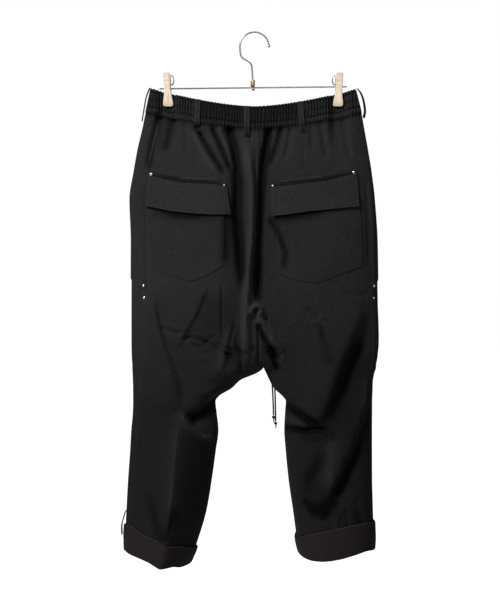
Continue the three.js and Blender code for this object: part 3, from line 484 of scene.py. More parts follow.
def clothMaterial(name, high, low, drift=0.6, weaveDepth=0.00018):
    material, tree, shader, place = newMaterial(name)
    # The point mark: painted shade below 0, rubbed edges and painted highlight above 0.
    wornAndPaintedLight = put(tree, "ShaderNodeAttribute", attribute_name="wearAndPaintedLight")
    weave = placeGroup(tree, twillWeave, Vector=place["UV"], Ribs_Per_Metre=cloth["ribsPerMetre"])
    tone = placeGroup(tree, clothTone, Vector=place["Object"], High=high, Low=low,
                      Wear=wornAndPaintedLight.outputs["Fac"], Rib=weave["Rib"], Drift=drift, Worn=cloth["wornAndPaintedLight"])
    fill(tree, shader, Base_Color=tone["Color"], Roughness=tone["Roughness"],
         Specular_IOR_Level=cloth["specular"], Sheen_Weight=cloth["sheen"],
         Sheen_Roughness=cloth["sheenRoughness"], Sheen_Tint=cloth["sheenTint"])
    height = mathNode(tree, "MULTIPLY_ADD", tone["Height"], 0.9, weave["Height"])
    bump(tree, shader, height, 0.55, weaveDepth)
    return material


yarn = {"cord": (0.0045, 0.0045, 0.005, 1), "thread": (0.018, 0.018, 0.020, 1)}


def yarnMaterial(name, colour, strands, depth):
    material, tree, shader, place = newMaterial(name)
    twist = placeGroup(tree, threadTwist, Vector=place["Object"], Strands_Per_Metre=strands)
    dark = tuple(c * 0.45 for c in colour[:3]) + (1,)
    fill(tree, shader, Base_Color=mixColour(tree, twist["Shade"], dark, colour),
         Roughness=rangeNode(tree, twist["Shade"], 0.0, 1.0, 0.9, 0.62),
         Specular_IOR_Level=0.3, Sheen_Weight=0.2)
    bump(tree, shader, twist["Height"], 0.7, depth)
    return material


metals = {
    "rivet": {"clean": (0.86, 0.85, 0.82, 1), "dull": (0.52, 0.50, 0.46, 1), "rough": (0.16, 0.34)},
    "steel": {"clean": (0.50, 0.49, 0.47, 1), "dull": (0.27, 0.26, 0.25, 1), "rough": (0.18, 0.42)},
    "brass": {"clean": (0.50, 0.38, 0.27, 1), "dull": (0.24, 0.18, 0.13, 1), "rough": (0.26, 0.5)},
}


def metalMaterial(name, look, stretch):
    material, tree, shader, place = newMaterial(name)
    wearAndPaintedLight = placeGroup(tree, metalWear, Vector=place["Object"], Stretch=stretch, Clean=look["clean"],
                      Dull=look["dull"], Low_Roughness=look["rough"][0], High_Roughness=look["rough"][1])
    fill(tree, shader, Base_Color=wearAndPaintedLight["Color"], Roughness=wearAndPaintedLight["Roughness"], Metallic=1)
    bump(tree, shader, wearAndPaintedLight["Height"], 0.25, 0.00008)
    return material


wood = {"pale": (0.74, 0.63, 0.49, 1), "grain": (0.50, 0.36, 0.23, 1), "endDark": (0.33, 0.22, 0.13, 1)}


def woodMaterial(name):
    # Pale beech with long fine grain, small pores and darker rubbed ends.
    material, tree, shader, place = newMaterial(name)
    long = fill(tree, put(tree, "ShaderNodeMapping"), Vector=place["Object"], Scale=(1, 1, 0.09)).outputs[0]
    bands = noiseNode(tree, long, 420.0, 4.0, 0.6)
    pores = noiseNode(tree, long, 1600.0, 2.0, 0.7)
    grain = mixColour(tree, rangeNode(tree, bands, 0.42, 0.7, 0.0, 0.75), wood["pale"], wood["grain"])
    marked = mixColour(tree, rangeNode(tree, pores, 0.62, 0.74, 0.0, 0.5), grain, wood["endDark"])
    wornAndPaintedLight = put(tree, "ShaderNodeAttribute", attribute_name="wearAndPaintedLight")
    edged = mixColour(tree, mathNode(tree, "MULTIPLY", wornAndPaintedLight.outputs["Fac"], 0.8), marked, wood["endDark"])
    fill(tree, shader, Base_Color=edged, Specular_IOR_Level=0.35,
         Roughness=rangeNode(tree, bands, 0.3, 0.8, 0.42, 0.62))
    bump(tree, shader, bands, 0.3, 0.0002)
    return material


panelCloth = clothMaterial("panelCloth", cloth["high"], cloth["low"])
pocketCloth = clothMaterial("pocketCloth", cloth["high"], cloth["high"])
flapCloth = clothMaterial("flapCloth", cloth["flap"], cloth["flap"])
bandCloth = clothMaterial("bandCloth", cloth["band"], cloth["band"], 0.4)
cuffCloth = clothMaterial("cuffCloth", cloth["cuff"], cloth["cuff"], 0.3)
cordYarn = yarnMaterial("cordYarn", yarn["cord"], 420.0, 0.0004)
sewingThread = yarnMaterial("sewingThread", yarn["thread"], 1600.0, 0.0001)
rivetMetal = metalMaterial("rivetMetal", metals["rivet"], (1, 1, 1))
hangerSteel = metalMaterial("hangerSteel", metals["steel"], (1, 1, 6))
rodSteel = metalMaterial("rodSteel", metals["steel"], (6, 1, 1))
ferruleBrass = metalMaterial("ferruleBrass", metals["brass"], (1, 1, 5))
pegWood = woodMaterial("pegWood")
print("materials made")


# Drawstrings: both ends hang free down the front, each tied off in a knot

drawstring = {
    "radius": 1.5,
    "left": [
        (8, 18.7, -158), (8, 25, -159), (8.4, 28.5, -166), (8.8, 29.5, -182), (9.4, 33, -216),
        (10.4, 40, -254), (12, 48, -309), (14.5, 55, -383), (19, 60, -470), (24, 61.5, -540),
        (29, 61, -590), (33, 58.5, -640), (35.4, 57, -680), (36.4, 56, -713),
    ],
    "right": [
        (16, 18.7, -158), (16, 25, -159), (16, 28.5, -166), (16, 29.5, -182), (16.2, 33, -216),
        (17, 40, -254), (18.4, 48, -309), (20.6, 55, -383), (24.6, 60, -470), (29.4, 61.5, -540),
        (34, 61, -590), (37.8, 57.5, -640), (39.6, 54.5, -680), (40.4, 52, -724),
    ],
    "length": {"left": 0.564, "right": 0.575},
    "knotRadius": 1.05,
    "knotSpread": 0.756,
    "knotMiddle": -3.6,
    "knotDepth": 1.7,
    "tail": [(0, 0, -5.2), (0.6, 0, -8), (0.2, 0.3, -12.3)],
    "tailRadii": (1.35, 1.0),
    "frayStrands": 9,
    "frayLean": 1.1,
    "frayDrop": 1.6,
    "frayRadius": 0.2,
}


def knotPiece(name, top):
    # Overhand knot with a short frayed tail.
    top = np.array(top)
    turn = np.linspace(0, 2 * math.pi, 60)
    spread = drawstring["knotSpread"]
    loop = np.stack([(np.sin(turn) + 2 * np.sin(2 * turn)) * spread,
                     (np.cos(turn) - 2 * np.cos(2 * turn)) * spread,
                     drawstring["knotMiddle"] - np.sin(3 * turn) * drawstring["knotDepth"]], -1)
    tail = np.array(drawstring["tail"]) + top
    parts = [tube(loop + top, drawstring["knotRadius"], 8),
             tube(smoothPath(tail, 10), np.linspace(*drawstring["tailRadii"], 10), 8)]
    source = random.Random(5)
    lean = drawstring["frayLean"]
    for _ in range(drawstring["frayStrands"]):
        end = top + [source.uniform(-lean, lean), source.uniform(-lean, lean), 0]
        end[2] = tail[-1][2] - drawstring["frayDrop"]
        parts.append(tube([tail[-1] + [0, 0, 1], end], drawstring["frayRadius"], 4))
    return meshPiece(name, *joinParts(parts))


def hangCord(side):
    route = smoothPath(drawstring[side], 40)
    curve = bpy.data.curves.new(f"drawstring_{side}_cord", "CURVE")
    curve.dimensions = "3D"
    curve.bevel_depth = drawstring["radius"] * metre
    curve.bevel_resolution = 4
    curve.use_fill_caps = True
    spline = curve.splines.new("POLY")
    spline.points.add(len(route) - 1)
    for point, place in zip(spline.points, route):
        point.co = (*(place * metre), 1)
    spline.use_smooth = True
    piece = bpy.data.objects.new(f"drawstring_{side}_cord", curve)
    finishPiece(piece, cordYarn, [f"drawstring_{side}"])
    knot = knotPiece(f"drawstring_{side}_knot", drawstring[side][-1])
    finishPiece(knot, cordYarn, [f"knot_{side}"])


hangCord("left")
hangCord("right")
print("drawstrings hung")


# Form of the trousers: level cuts through each half, as in the solids.
# z height; outer, inner: edges seen from the back; seam: side seam; middle: place of
# the greatest depth; close: 0 open to the other half, 1 a closed leg; power: roundness

columns = ["z", "outer", "inner", "seam", "middle", "close", "back", "front", "power"]
leftSections = named(columns, [
    (-100, -191, 0, -171, 0, 0, 12, 12, 3.4),
    (-146, -201, 0, -174, 0, 0, 14, 14, 3.2),
    (-180, -208, 0, -180, 0, 0, 20, 20, 2.8),
    (-216, -216.5, 1, -188, 0, 0, 28, 28, 2.5),
    (-254, -223, 2, -196, 0, 0, 35, 35, 2.4),
    (-309, -229.5, 4, -199, 0, 0, 43, 43, 2.3),
    (-383, -227, 3, -199, 0, 0, 50, 50, 2.2),
    (-494, -227.5, 2, -196, 0, 0, 54, 55, 2.1),
    (-568, -227.5, 6, -200, 0, 0, 54, 55, 2.1),
    (-600, -227, 10, -204, 0.12, 0.45, 52, 54, 2.1),
    (-615, -226, 16.5, -207, 0.25, 0.8, 50, 52, 2.1),
    (-617, -226, 16.5, -207, 0.26, 0.85, 50, 52, 2.1),
    (-620.5, -226, 15.5, -207, 0.28, 1, 50, 52, 2.08),
    (-628, -225.6, 6, -208, 0.33, 1, 50, 51, 2.05),
    (-642, -225, -26, -210, 0.36, 1, 50, 50, 2),
    (-657, -224.6, -42, -211, 0.38, 1, 50, 50, 2),
    (-671, -224.5, -65, -212, 0.38, 1, 50, 50, 2),
    (-681, -224.4, -72, -213, 0.38, 1, 50, 50, 2),
    (-701, -225, -70, -214, 0.39, 1, 50, 50, 1.9),
    (-735, -228, -66.5, -216, 0.42, 1, 51, 51, 1.75),
    (-771, -230, -71, -219, 0.43, 1, 53, 53, 1.6),
    (-827, -234, -78.6, -224, 0.43, 1, 57, 57, 1.45),
    (-882, -237, -88, -229, 0.42, 1, 61, 61, 1.35),
    (-940, -239.5, -105, -233, 0.41, 1, 66, 66, 1.28),
    (-985, -240.5, -121, -235, 0.41, 1, 70, 70, 1.25),
])
rightSections = named(columns, [
    (-100, 186, 0, 181, 0, 0, 12, 12, 3.4),
    (-146, 197.5, 0, 192, 0, 0, 14, 14, 3.2),
    (-180, 203.5, 0, 198, 0, 0, 20, 20, 2.8),
    (-216, 210, 1, 204, 0, 0, 28, 28, 2.5),
    (-254, 216, 2, 206, 0, 0, 35, 35, 2.4),
    (-309, 221, 4, 209, 0, 0, 43, 43, 2.3),
    (-383, 226, 3, 212, 0, 0, 50, 50, 2.2),
    (-494, 228, 2, 213, 0, 0, 54, 55, 2.1),
    (-568, 230, 6, 216, 0, 0, 54, 55, 2.1),
    (-600, 227.5, 10, 215, 0.12, 0.45, 52, 54, 2.1),
    (-615, 225, 16.5, 214, 0.25, 0.8, 50, 52, 2.1),
    (-617, 225, 16.5, 214, 0.26, 0.85, 50, 52, 2.1),
    (-620.5, 224.5, 17.5, 214, 0.28, 1, 50, 52, 2.08),
    (-628, 222, 21, 213, 0.33, 1, 50, 51, 2.05),
    (-642, 219.2, 27.4, 213, 0.36, 1, 50, 50, 2),
    (-657, 218.5, 36, 212, 0.38, 1, 50, 50, 2),
    (-671, 218, 51, 212, 0.38, 1, 50, 50, 2),
    (-681, 217.7, 58, 211, 0.38, 1, 50, 50, 2),
    (-701, 217.6, 56.5, 211, 0.38, 1, 50, 50, 2),
    (-735, 217.4, 55, 211, 0.38, 1, 51, 51, 2),
    (-771, 217.4, 57.5, 211, 0.38, 1, 53, 53, 2),
    (-827, 217.6, 63, 211, 0.37, 1, 57, 57, 2),
    (-882, 219, 71, 213, 0.36, 1, 61, 61, 2.1),
    (-940, 220.5, 79, 214, 0.35, 1, 65, 65, 2.3),
    (-985, 221, 86, 215, 0.35, 1, 68, 68, 2.4),
])
cuffColumns = ["t", "top", "foot"]  # from the inseam, 0, to the outer side, 1
leftCuff = named(cuffColumns, [
    (0, -948, -978), (0.05, -946.5, -980), (0.12, -943.5, -980), (0.27, -937, -975),
    (0.42, -935.5, -975.5), (0.5, -929, -972), (0.62, -923, -966.5), (0.78, -916, -962.5),
    (0.91, -907, -960), (1, -908, -956),
])
rightCuff = named(cuffColumns, [
    (0, -931, -957), (0.08, -921, -961), (0.17, -915.5, -962.5), (0.27, -910.5, -962.5),
    (0.48, -905, -959.5), (0.7, -899.5, -953), (0.88, -897.5, -948.5), (1, -902, -951.5),
])

waist = {
    "topCentre": -138, "topRise": 34, "topHalf": 190,
    "seamCentre": -179, "seamRise": 32, "seamHalf": 200, "power": 1.6,
    "clips": (-160.5, 155.5), "pinch": 0.87, "pinchHalf": 17, "pinchFoot": -150, "pinchFade": 48,
}

# Folds run over a face as (x, z) points. lift raises or sinks the cloth, step raises the
# side to the right of a downward path, sharper where edge is small; crest makes a ridge sharp;
# start 1 lets a fold start at full depth, as those that spring from the waist seam do
def crease(path, width, lift=0, step=0, edge=1, start=0, crest=False):
    return {"path": path, "width": width, "lift": lift, "step": step, "edge": edge,
            "start": start, "crest": crest}


backFolds = [
    crease([(-176, -154), (-188, -206), (-197, -262)], 5, -7.5, start=1),
    crease([(-150, -160), (-163, -226)], 7, -5, start=1),
    crease([(-106, -178), (-82, -222), (-50, -272)], 4.6, -7.5, start=1),
    crease([(-116, -178), (-94, -224), (-60, -276)], 6, 4),
    crease([(-76, -182), (-56, -226), (-40, -266)], 4.6, -7.5, start=1),
    crease([(-63, -182), (-47, -222), (-34, -266)], 4.6, 4.5, start=1),
    crease([(-45, -184), (-36, -222), (-30, -282), (-32, -340), (-26, -404), (-19, -492)], 8, -12, start=1),
    crease([(-16, -190), (-3, -296), (-3, -360), (-12, -451), (-16, -534), (-14, -620)], 7, 10),
    crease([(26, -186), (17, -241), (13, -295), (10, -340), (6, -422), (6, -496)], 6.5, -13, start=1),
    crease([(48, -184), (35, -228), (24, -252)], 5.5, -6, start=1),
    crease([(8, -410), (6, -450), (6, -502)], 5.5, -9),
    crease([(3, -532), (20, -566), (34, -594), (42, -618), (43, -634)], 4.4, -6),
    crease([(22, -580), (36, -604), (44, -624)], 8, -4),
    crease([(8, -522), (26, -554), (43, -586), (54, -620)], 5, 7),
    crease([(-8, -524), (-4, -510), (4, -504), (11, -508), (15, -524)], 4.2, 10),
    crease([(9, -512), (8, -540)], 6, 6),
    crease([(-186, -478), (-174, -534), (-162, -579), (-150, -611), (-138, -651), (-130, -700)],
           22, step=-4, edge=2.8),
    crease([(-82, -468), (-103, -518), (-122, -552), (-142, -592)], 30, step=-2.6, edge=2.8),
    crease([(-34, -524), (-44, -570), (-53, -632)], 3.2, -3.5),
    crease([(-44, -540), (-56, -590), (-68, -632)], 7, 3),
    crease([(-37, -556), (-27, -588), (-24, -612), (-25, -636)], 3.4, -3.5),
    crease([(-62, -661), (-92, -686), (-128, -706)], 16, step=-8, edge=2.6),
    crease([(-134, -690), (-114, -722), (-94, -739), (-70, -748)], 18, step=-5, edge=3.5),
    crease([(-136, -692), (-117, -724), (-95, -742), (-62, -752)], 4.5, 5, crest=True),
    crease([(50, -671), (85, -696), (124, -722)], 14, step=7.5, edge=2),
    crease([(48, -725), (90, -730), (136, -726)], 4, -9, start=1),
    crease([(52, -708), (100, -722)], 7, 2, start=1),
    crease([(117, -536), (134, -590), (142, -622)], 7, -3),
    crease([(207, -498), (189, -556), (162, -613), (140, -676), (119, -732)], 36, step=-8.5, edge=9),
    crease([(196, -560), (168, -625), (146, -690)], 12, -5),
    crease([(213, -664), (200, -708), (184, -750), (169, -787), (157, -816), (140, -840), (120, -866)],
           26, step=-8, edge=6),
    crease([(176, -776), (160, -816), (142, -848)], 8, -6),
    crease([(142, -736), (138, -780), (132, -812), (120, -840)], 15, 2.2),
    crease([(126, -758), (114, -791), (98, -818), (84, -862)], 11, -3),
    crease([(86, -852), (104, -872), (124, -882), (142, -876)], 8, -7),
    crease([(-132, -694), (-140, -746), (-146, -817), (-154, -888), (-161, -936)], 11, 4, crest=True),
    crease([(-193, -835), (-182, -879), (-168, -934)], 7, -3),
    crease([(208, -620), (203, -700), (196, -770)], 8, 3),
]
fineFolds = [  # creases of a few millimetres, seen in the cloth and not in the solids
    crease([(-107.5, -210), (-107.5, -262)], 1.5, -1.2),
    crease([(90, -200), (90, -266)], 1.6, -2),
    crease([(-60, -458), (-59, -572)], 2, -2.8),
    crease([(-65, -456), (-65, -548)], 2.6, 1),
    crease([(-132, -694), (-140, -746), (-146, -817), (-154, -888), (-161, -936)], 2.2, 1.5, crest=True),
    crease([(-178, -543), (-150, -553), (-128, -556)], 2.6, -2.6),
    crease([(-166, -536), (-140, -545), (-118, -548)], 2.6, 2),
    crease([(-140, -566), (-113, -561), (-84, -573), (-61, -590)], 3, -3.6),
    crease([(-110, -553), (-84, -563), (-60, -579)], 3.4, 2.6),
    crease([(-108, -584), (-90, -571), (-66, -556)], 2.4, -2.6),
    crease([(-100, -590), (-82, -580), (-62, -566)], 2.4, 2),
    crease([(-120, -574), (-100, -583), (-84, -596)], 2.6, -2),
    crease([(-74, -566), (-56, -580), (-40, -598)], 2.8, -3),
    crease([(-84, -592), (-70, -612), (-62, -634)], 4.5, 2.6),
    crease([(-96, -600), (-84, -618), (-80, -640)], 4, -2),
    crease([(-148, -600), (-120, -612), (-96, -616)], 6, 1.2),
    crease([(1, -194), (2, -300), (1, -420), (1, -492)], 2.6, -1.6),
    crease([(6, -544), (7, -580), (7, -616)], 2, -4, start=1),
    crease([(-27, -520), (-38, -560), (-43, -610)], 4, 2.6),
    crease([(-6, -540), (-4, -575), (-8, -612)], 3, -2),
    crease([(50, -606), (66, -640), (84, -668)], 5, 2),
    crease([(50, -604), (53, -640), (55, -666)], 2.4, -2.6),
    crease([(17, -518), (24, -543), (30, -568)], 2.2, -3),
    crease([(-1, -514), (5, -514)], 3, -4),
    crease([(-52, -640), (-78, -658), (-104, -664)], 6, 1.8),
    crease([(30, -445), (60, -490), (84, -515)], 6, -2),
    crease([(146, -470), (176, -492), (208, -500)], 7, 1.8),
    crease([(92, -506), (108, -522), (128, -538)], 4, -2.6),
    crease([(92, -520), (112, -540), (120, -566)], 6, 1.8),
    crease([(126, -518), (118, -532), (100, -540)], 4, 2.2),
    crease([(138, -560), (150, -590), (152, -620)], 6, -1.4),
    crease([(60, -540), (90, -576), (104, -620)], 8, -1.4),
    crease([(160, -476), (190, -488), (212, -484)], 5, -1.8),
    crease([(138, -700), (139, -790), (138, -880)], 3.5, 1.6, crest=True),
    crease([(182, -850), (190, -880), (196, -908)], 5, -3),
    crease([(164, -868), (168, -890), (170, -910)], 4.5, -3),
    crease([(151, -876), (147, -894), (146, -912)], 4, 2.6),
    crease([(-205, -770), (-203, -840), (-196, -900)], 6, 1.4),
    crease([(-170, -892), (-162, -912), (-158, -934)], 3.4, -3),
    crease([(-148, -890), (-154, -912), (-158, -934)], 3.4, -2.4),
    crease([(-208, -330), (-212, -400), (-212, -452)], 5, -1.6),
    crease([(203, -262), (208, -340), (209, -440)], 4, -2.2),
    crease([(-128, -176), (-122, -236)], 4.5, -2.2, start=1),
    crease([(-90, -184), (-80, -206)], 3, -2.2, start=1),
    crease([(-58, -186), (-50, -214)], 2.8, -2.4, start=1),
    crease([(-26, -186), (-24, -216)], 2.6, -2.2, start=1),
    crease([(-8, -190), (-7, -212)], 2.4, -1.8, start=1),
    crease([(12, -190), (10, -216)], 2.6, -2.2, start=1),
    crease([(36, -186), (30, -214)], 2.8, -2.2, start=1),
    crease([(66, -182), (57, -240)], 4, -3.6, start=1),
    crease([(104, -178), (106, -222)], 4, -2.8, start=1),
    crease([(122, -172), (133, -240)], 5, -3.6, start=1),
    crease([(164, -166), (176, -236)], 5, -3, start=1),
]
frontFolds = [
    crease([(-60, -182), (-52, -260), (-46, -340)], 10, -6),
    crease([(-92, -182), (-84, -250)], 8, -4),
    crease([(-26, -186), (-24, -300), (-20, -420)], 9, -5),
    crease([(76, -182), (68, -262), (62, -350)], 10, -6),
    crease([(112, -180), (104, -240)], 8, -4),
    crease([(-175, -500), (-150, -590), (-128, -690)], 15, -8),
    crease([(-40, -520), (-58, -590), (-80, -640)], 10, -5),
    crease([(190, -500), (160, -590), (128, -690)], 16, -9),
    crease([(84, -540), (96, -600), (112, -650)], 10, -4),
    crease([(-66, -672), (-92, -690), (-118, -704)], 13, step=5, edge=3.5),
    crease([(54, -676), (86, -698), (112, -716)], 13, step=-5, edge=3.5),
    crease([(190, -760), (166, -840), (150, -900)], 15, -8),
    crease([(-210, -780), (-196, -860), (-186, -920)], 12, -5),
]
fineFrontFolds = [
    crease([(-130, -184), (-124, -228)], 4, -2),
    crease([(140, -176), (134, -224)], 4, -2),
    crease([(40, -186), (34, -236)], 4, -2),
    crease([(-150, -560), (-110, -572), (-74, -590)], 4, -1.8),
    crease([(60, -560), (92, -574), (132, -580)], 4, -1.6),
    crease([(-152, -720), (-156, -800), (-160, -920)], 2.6, 1.2),
    crease([(136, -720), (140, -800), (144, -900)], 2.6, 1.2),
    crease([(-130, -380), (-126, -460)], 6, 1.6),
    crease([(118, -360), (124, -450)], 6, 1.6),
]
# Painted shade along these paths, and painted highlight where the lift is below 0.
backShades = [
    crease([(-176, -154), (-188, -206), (-197, -266)], 6, 0.9, start=1),
    crease([(9, -400), (6, -450), (6, -510)], 8, 0.7),
    crease([(200, -330), (206, -400), (206, -450)], 7, 0.3),
    crease([(14, -230), (10, -360), (4, -500)], 20, 0.3, start=1),
    crease([(-30, -230), (-40, -360), (-36, -470), (-52, -560), (-50, -610)], 22, 0.4),
    crease([(-70, -480), (-88, -545), (-96, -590)], 24, 0.34),
    crease([(-51, -345), (-54, -436)], 8, 0.7, start=1),
    crease([(28, -350), (42, -372), (56, -410), (48, -446)], 6, 0.9, start=1),
    crease([(-50, -284), (-68, -278.5), (-134, -275.5), (-194, -262.5)], 3, 1.1),
    crease([(28, -283.5), (75, -278.5), (125, -273.5), (186, -259.5)], 3, 1.1),
    crease([(3, -536), (20, -568), (34, -598), (43, -624)], 4.5, 0.8),
    crease([(-52, -586), (-36, -606), (-30, -626)], 12, 0.2),
    crease([(-62, -677), (-95, -701), (-125, -716)], 7.5, 1.3, start=1),
    crease([(52, -680), (86, -703), (120, -725)], 7.5, 2.2, start=1),
    crease([(48, -727), (90, -732), (140, -727)], 5, 1.5, start=1),
    crease([(78, -742), (116, -746), (152, -734)], 9, 0.5),
    crease([(-110, -716), (-66, -722)], 13, -0.9),
    crease([(-128, -700), (-112, -726), (-92, -742), (-62, -751)], 3.5, -0.8),
    crease([(200, -535), (176, -600), (152, -664), (134, -712), (128, -750)], 13, 0.6),
    crease([(206, -570), (184, -628), (164, -684), (142, -736)], 24, 0.4),
    crease([(220, -650), (208, -706), (193, -750), (178, -788), (164, -818), (148, -842), (130, -874)],
           9, 1.1, start=1),
    crease([(96, -868), (116, -872), (134, -862), (146, -846)], 13, 1.1),
    crease([(118, -776), (108, -800), (92, -834)], 13, 0.2),
    crease([(-116, -740), (-124, -830), (-136, -920)], 26, 0.35, start=1),
    crease([(-146, -880), (-157, -920), (-160, -934)], 11, 0.8, start=1),
    crease([(-192, -850), (-180, -890), (-168, -930)], 9, 0.2),
    crease([(100, -780), (108, -850), (112, -880)], 16, 0.25),
    crease([(170, -870), (186, -884), (196, -908)], 10, 0.35),
]
back = {"name": "back", "sign": -1, "folds": backFolds, "fine": fineFolds, "shades": backShades}
front = {"name": "front", "sign": 1, "folds": frontFolds, "fine": fineFrontFolds, "shades": []}
left = {"name": "left", "side": -1, "sections": leftSections, "cuff": leftCuff}
right = {"name": "right", "side": 1, "sections": rightSections, "cuff": rightCuff}

foldEnds = {"rise": 0.18, "fall": 0.22, "reach": 3.6}  # shares of the path; reach in widths
gather = {"pitch": 5.6, "height": 1.15, "half": 0.45, "wander": 1.2, "puckerFade": 11, "pucker": 1.6}
unevenness = ((0.9, 62, 0.6), (0.28, 17, 1), (0.09, 6, 1))  # height, size and upright squash of bumps


def waistSeam(x):
    return waist["seamCentre"] + waist["seamRise"] * (np.abs(x) / waist["seamHalf"]) ** waist["power"]


def waistTop(x):
    return waist["topCentre"] + waist["topRise"] * (np.abs(x) / waist["topHalf"]) ** waist["power"]


def gatherPhase(x, z):
    drift = ripple(x, z * 0.25, 40, 11) * gather["wander"]
    return 2 * math.pi * x / gather["pitch"] + drift * 2.6


def foldLift(fold, x, z):
    path = np.array(fold["path"], float)
    reach = fold["width"] * foldEnds["reach"]
    out = np.zeros_like(x)
    near = ((x > path[:, 0].min() - reach) & (x < path[:, 0].max() + reach)
            & (z > path[:, 1].min() - reach) & (z < path[:, 1].max() + reach))
    if not near.any():
        return out
    px, pz = x[near], z[near]
    best = np.full(px.shape, np.inf)
    side = np.zeros_like(px)
    reached = np.zeros_like(px)
    total = 0
    for a, b in zip(path[:-1], path[1:]):
        length = math.dist(a, b)
        ux, uz = (b - a) / length
        along = np.clip((px - a[0]) * ux + (pz - a[1]) * uz, 0, length)
        dx, dz = px - a[0] - ux * along, pz - a[1] - uz * along
        distance = np.hypot(dx, dz)
        closer = distance < best
        best = np.where(closer, distance, best)
        side = np.where(closer, np.sign(dz * ux - dx * uz), side)
        reached = np.where(closer, total + along, reached)
        total += length
    share = reached / total
    rise = np.maximum(fold["start"], smooth(share / foldEnds["rise"]))
    taper = rise * smooth((1 - share) / foldEnds["fall"])
    s = best / fold["width"]
    lift = fold["lift"] * np.exp(-s if fold["crest"] else -s * s)
    step = fold["step"] * side * np.tanh(best / fold["edge"]) * np.exp(-s * s / 2)
    out[near] = (lift + step) * taper
    return out


def clipSqueeze(x, z):
    below = np.maximum(0, waist["pinchFoot"] - z) / waist["pinchFade"]
    fade = np.exp(-below * below)
    free = 1
    for clip in waist["clips"]:
        free = free - waist["pinch"] * np.exp(-((x - clip) / waist["pinchHalf"]) ** 4) * fade
    return free


def fineLift(face, x, z):
    # Puckers under the waist seam, small creases and the cloth's slight unevenness.
    below = waistSeam(x) - z
    pucker = np.cos(gatherPhase(x, z)) * np.exp(-np.maximum(0, below) / gather["puckerFade"])
    strong = 0.65 + 0.5 * ripple(x, z * 0, 34, 21)
    lift = gather["pucker"] * pucker * strong
    for fold in face["fine"]:
        lift = lift + foldLift(fold, x, z)
    seed = 31 if face["sign"] < 0 else 41
    for k, (height, size, squash) in enumerate(unevenness):
        lift = lift + height * ripple(x, z * squash, size, seed + k)
    return lift


def depthAt(leg, face, x, z, fine=True):
    table = leg["sections"]
    inner, outer = read(table, "inner", z), read(table, "outer", z)
    middle, power = read(table, "middle", z), read(table, "power", z)
    t = np.clip((x - inner) / (outer - inner), 0, 1)
    outside = (t - middle) / (1 - middle)
    inside = (middle - t) / np.maximum(middle, 1e-6) * read(table, "close", z)
    away = np.clip(np.where(t > middle, outside, np.where(middle > 1e-6, inside, 0)), 0, 1)
    shape = np.maximum(0, 1 - away ** power) ** (1 / power)
    lift = 0
    for fold in face["folds"]:
        lift = lift + foldLift(fold, x, z)
    if fine:
        lift = lift + fineLift(face, x, z)
    return 0.15 + read(table, face["name"], z) * shape * clipSqueeze(x, z) + lift * smooth(shape * 1.6)


def skin(leg, face, x, z, off=0.0, fine=True):
    # Points on a face of the trousers, raised off it along its outward direction.
    x, z = np.broadcast_arrays(np.asarray(x, float), np.asarray(z, float))
    depth = depthAt(leg, face, x, z, fine)
    points = np.stack([x, face["sign"] * depth, z], -1)
    if np.all(np.asarray(off) == 0):
        return points
    return points + outwardAt(leg, face, x, z) * np.asarray(off)[..., None]


def foldShadeAndHighlight(face, x, z):
    # Painted shade below 0 in the hollows of the folds and over the broad areas that lie in shade,
    # painted highlight above 0 on fold crests and where a shade's lift is below 0.
    total = np.zeros_like(x)
    for fold in face["folds"]:
        total = total + foldLift({**fold, "step": 0}, x, z)
    tone = np.clip(total / 7, -1, 0.5)
    for shade in face["shades"]:
        tone = tone - foldLift(shade, x, z)
    return np.clip(tone, -1, 0.5)


def outwardAt(leg, face, x, z):
    # Outward direction, taken on the broad form so that laid pieces stay even.
    reach = 0.8
    table = leg["sections"]
    inner, outer = read(table, "inner", z), read(table, "outer", z)
    low, high = np.minimum(inner, outer), np.maximum(inner, outer)
    x0, x1 = np.clip(x - reach, low, high), np.clip(x + reach, low, high)
    risen = depthAt(leg, face, x1, z, False) - depthAt(leg, face, x0, z, False)
    slopeX = risen / np.maximum(x1 - x0, 1e-6)
    risen = depthAt(leg, face, x, z + reach, False) - depthAt(leg, face, x, z - reach, False)
    slopeZ = risen / (2 * reach)
    t = (x - inner) / (outer - inner)
    closed = read(table, "close", z) > 0.99
    outward = np.stack([-slopeX, np.full_like(slopeX, face["sign"]), -slopeZ], -1)
    outward[..., 0] = np.where((t < 0.02) & ~closed, 0, outward[..., 0])
    outward /= np.linalg.norm(outward, axis=-1, keepdims=True)
    edge = np.array([leg["side"], 0, 0])
    outward = np.where((t > 0.999)[..., None], edge, outward)
    return np.where(((t < 0.001) & closed)[..., None], -edge, outward)


# Leg panels, waist seam to hem

panel = {
    "thickness": 0.9,
    "topRows": 78, "levelStep": 2.7, "hemRows": 34,
    "levelFrom": -392, "levelTo": -860, "hemInCuff": 1.5,
    "backColumns": 92, "frontColumns": 60, "roundColumns": 16,
    "seamDip": 0.5, "seamWidth": 1.3, "crotch": -615, "crotchReach": 10,
    "crotchLevels": [-617.6, -618.6, -619.4, -620, -620.5],  # the underside there is nearly flat
    "flat": {"back_left": (0.270, 0.815), "back_right": (0.270, 0.800),
             "front_left": (0.300, 0.815), "front_right": (0.290, 0.800)},
    "area": {"back_left": 0.176, "back_right": 0.168, "front_left": 0.188, "front_right": 0.176},
}


def panelRows():
    rows = [("top", s) for s in np.linspace(0, 1, panel["topRows"], endpoint=False)]
    count = int((panel["levelFrom"] - panel["levelTo"]) / panel["levelStep"])
    levels = list(np.linspace(panel["levelFrom"], panel["levelTo"], count, endpoint=False))
    rows += [("level", z) for z in sorted(levels + panel["crotchLevels"], reverse=True)]
    return rows + [("hem", s) for s in np.linspace(0, 1, panel["hemRows"])]


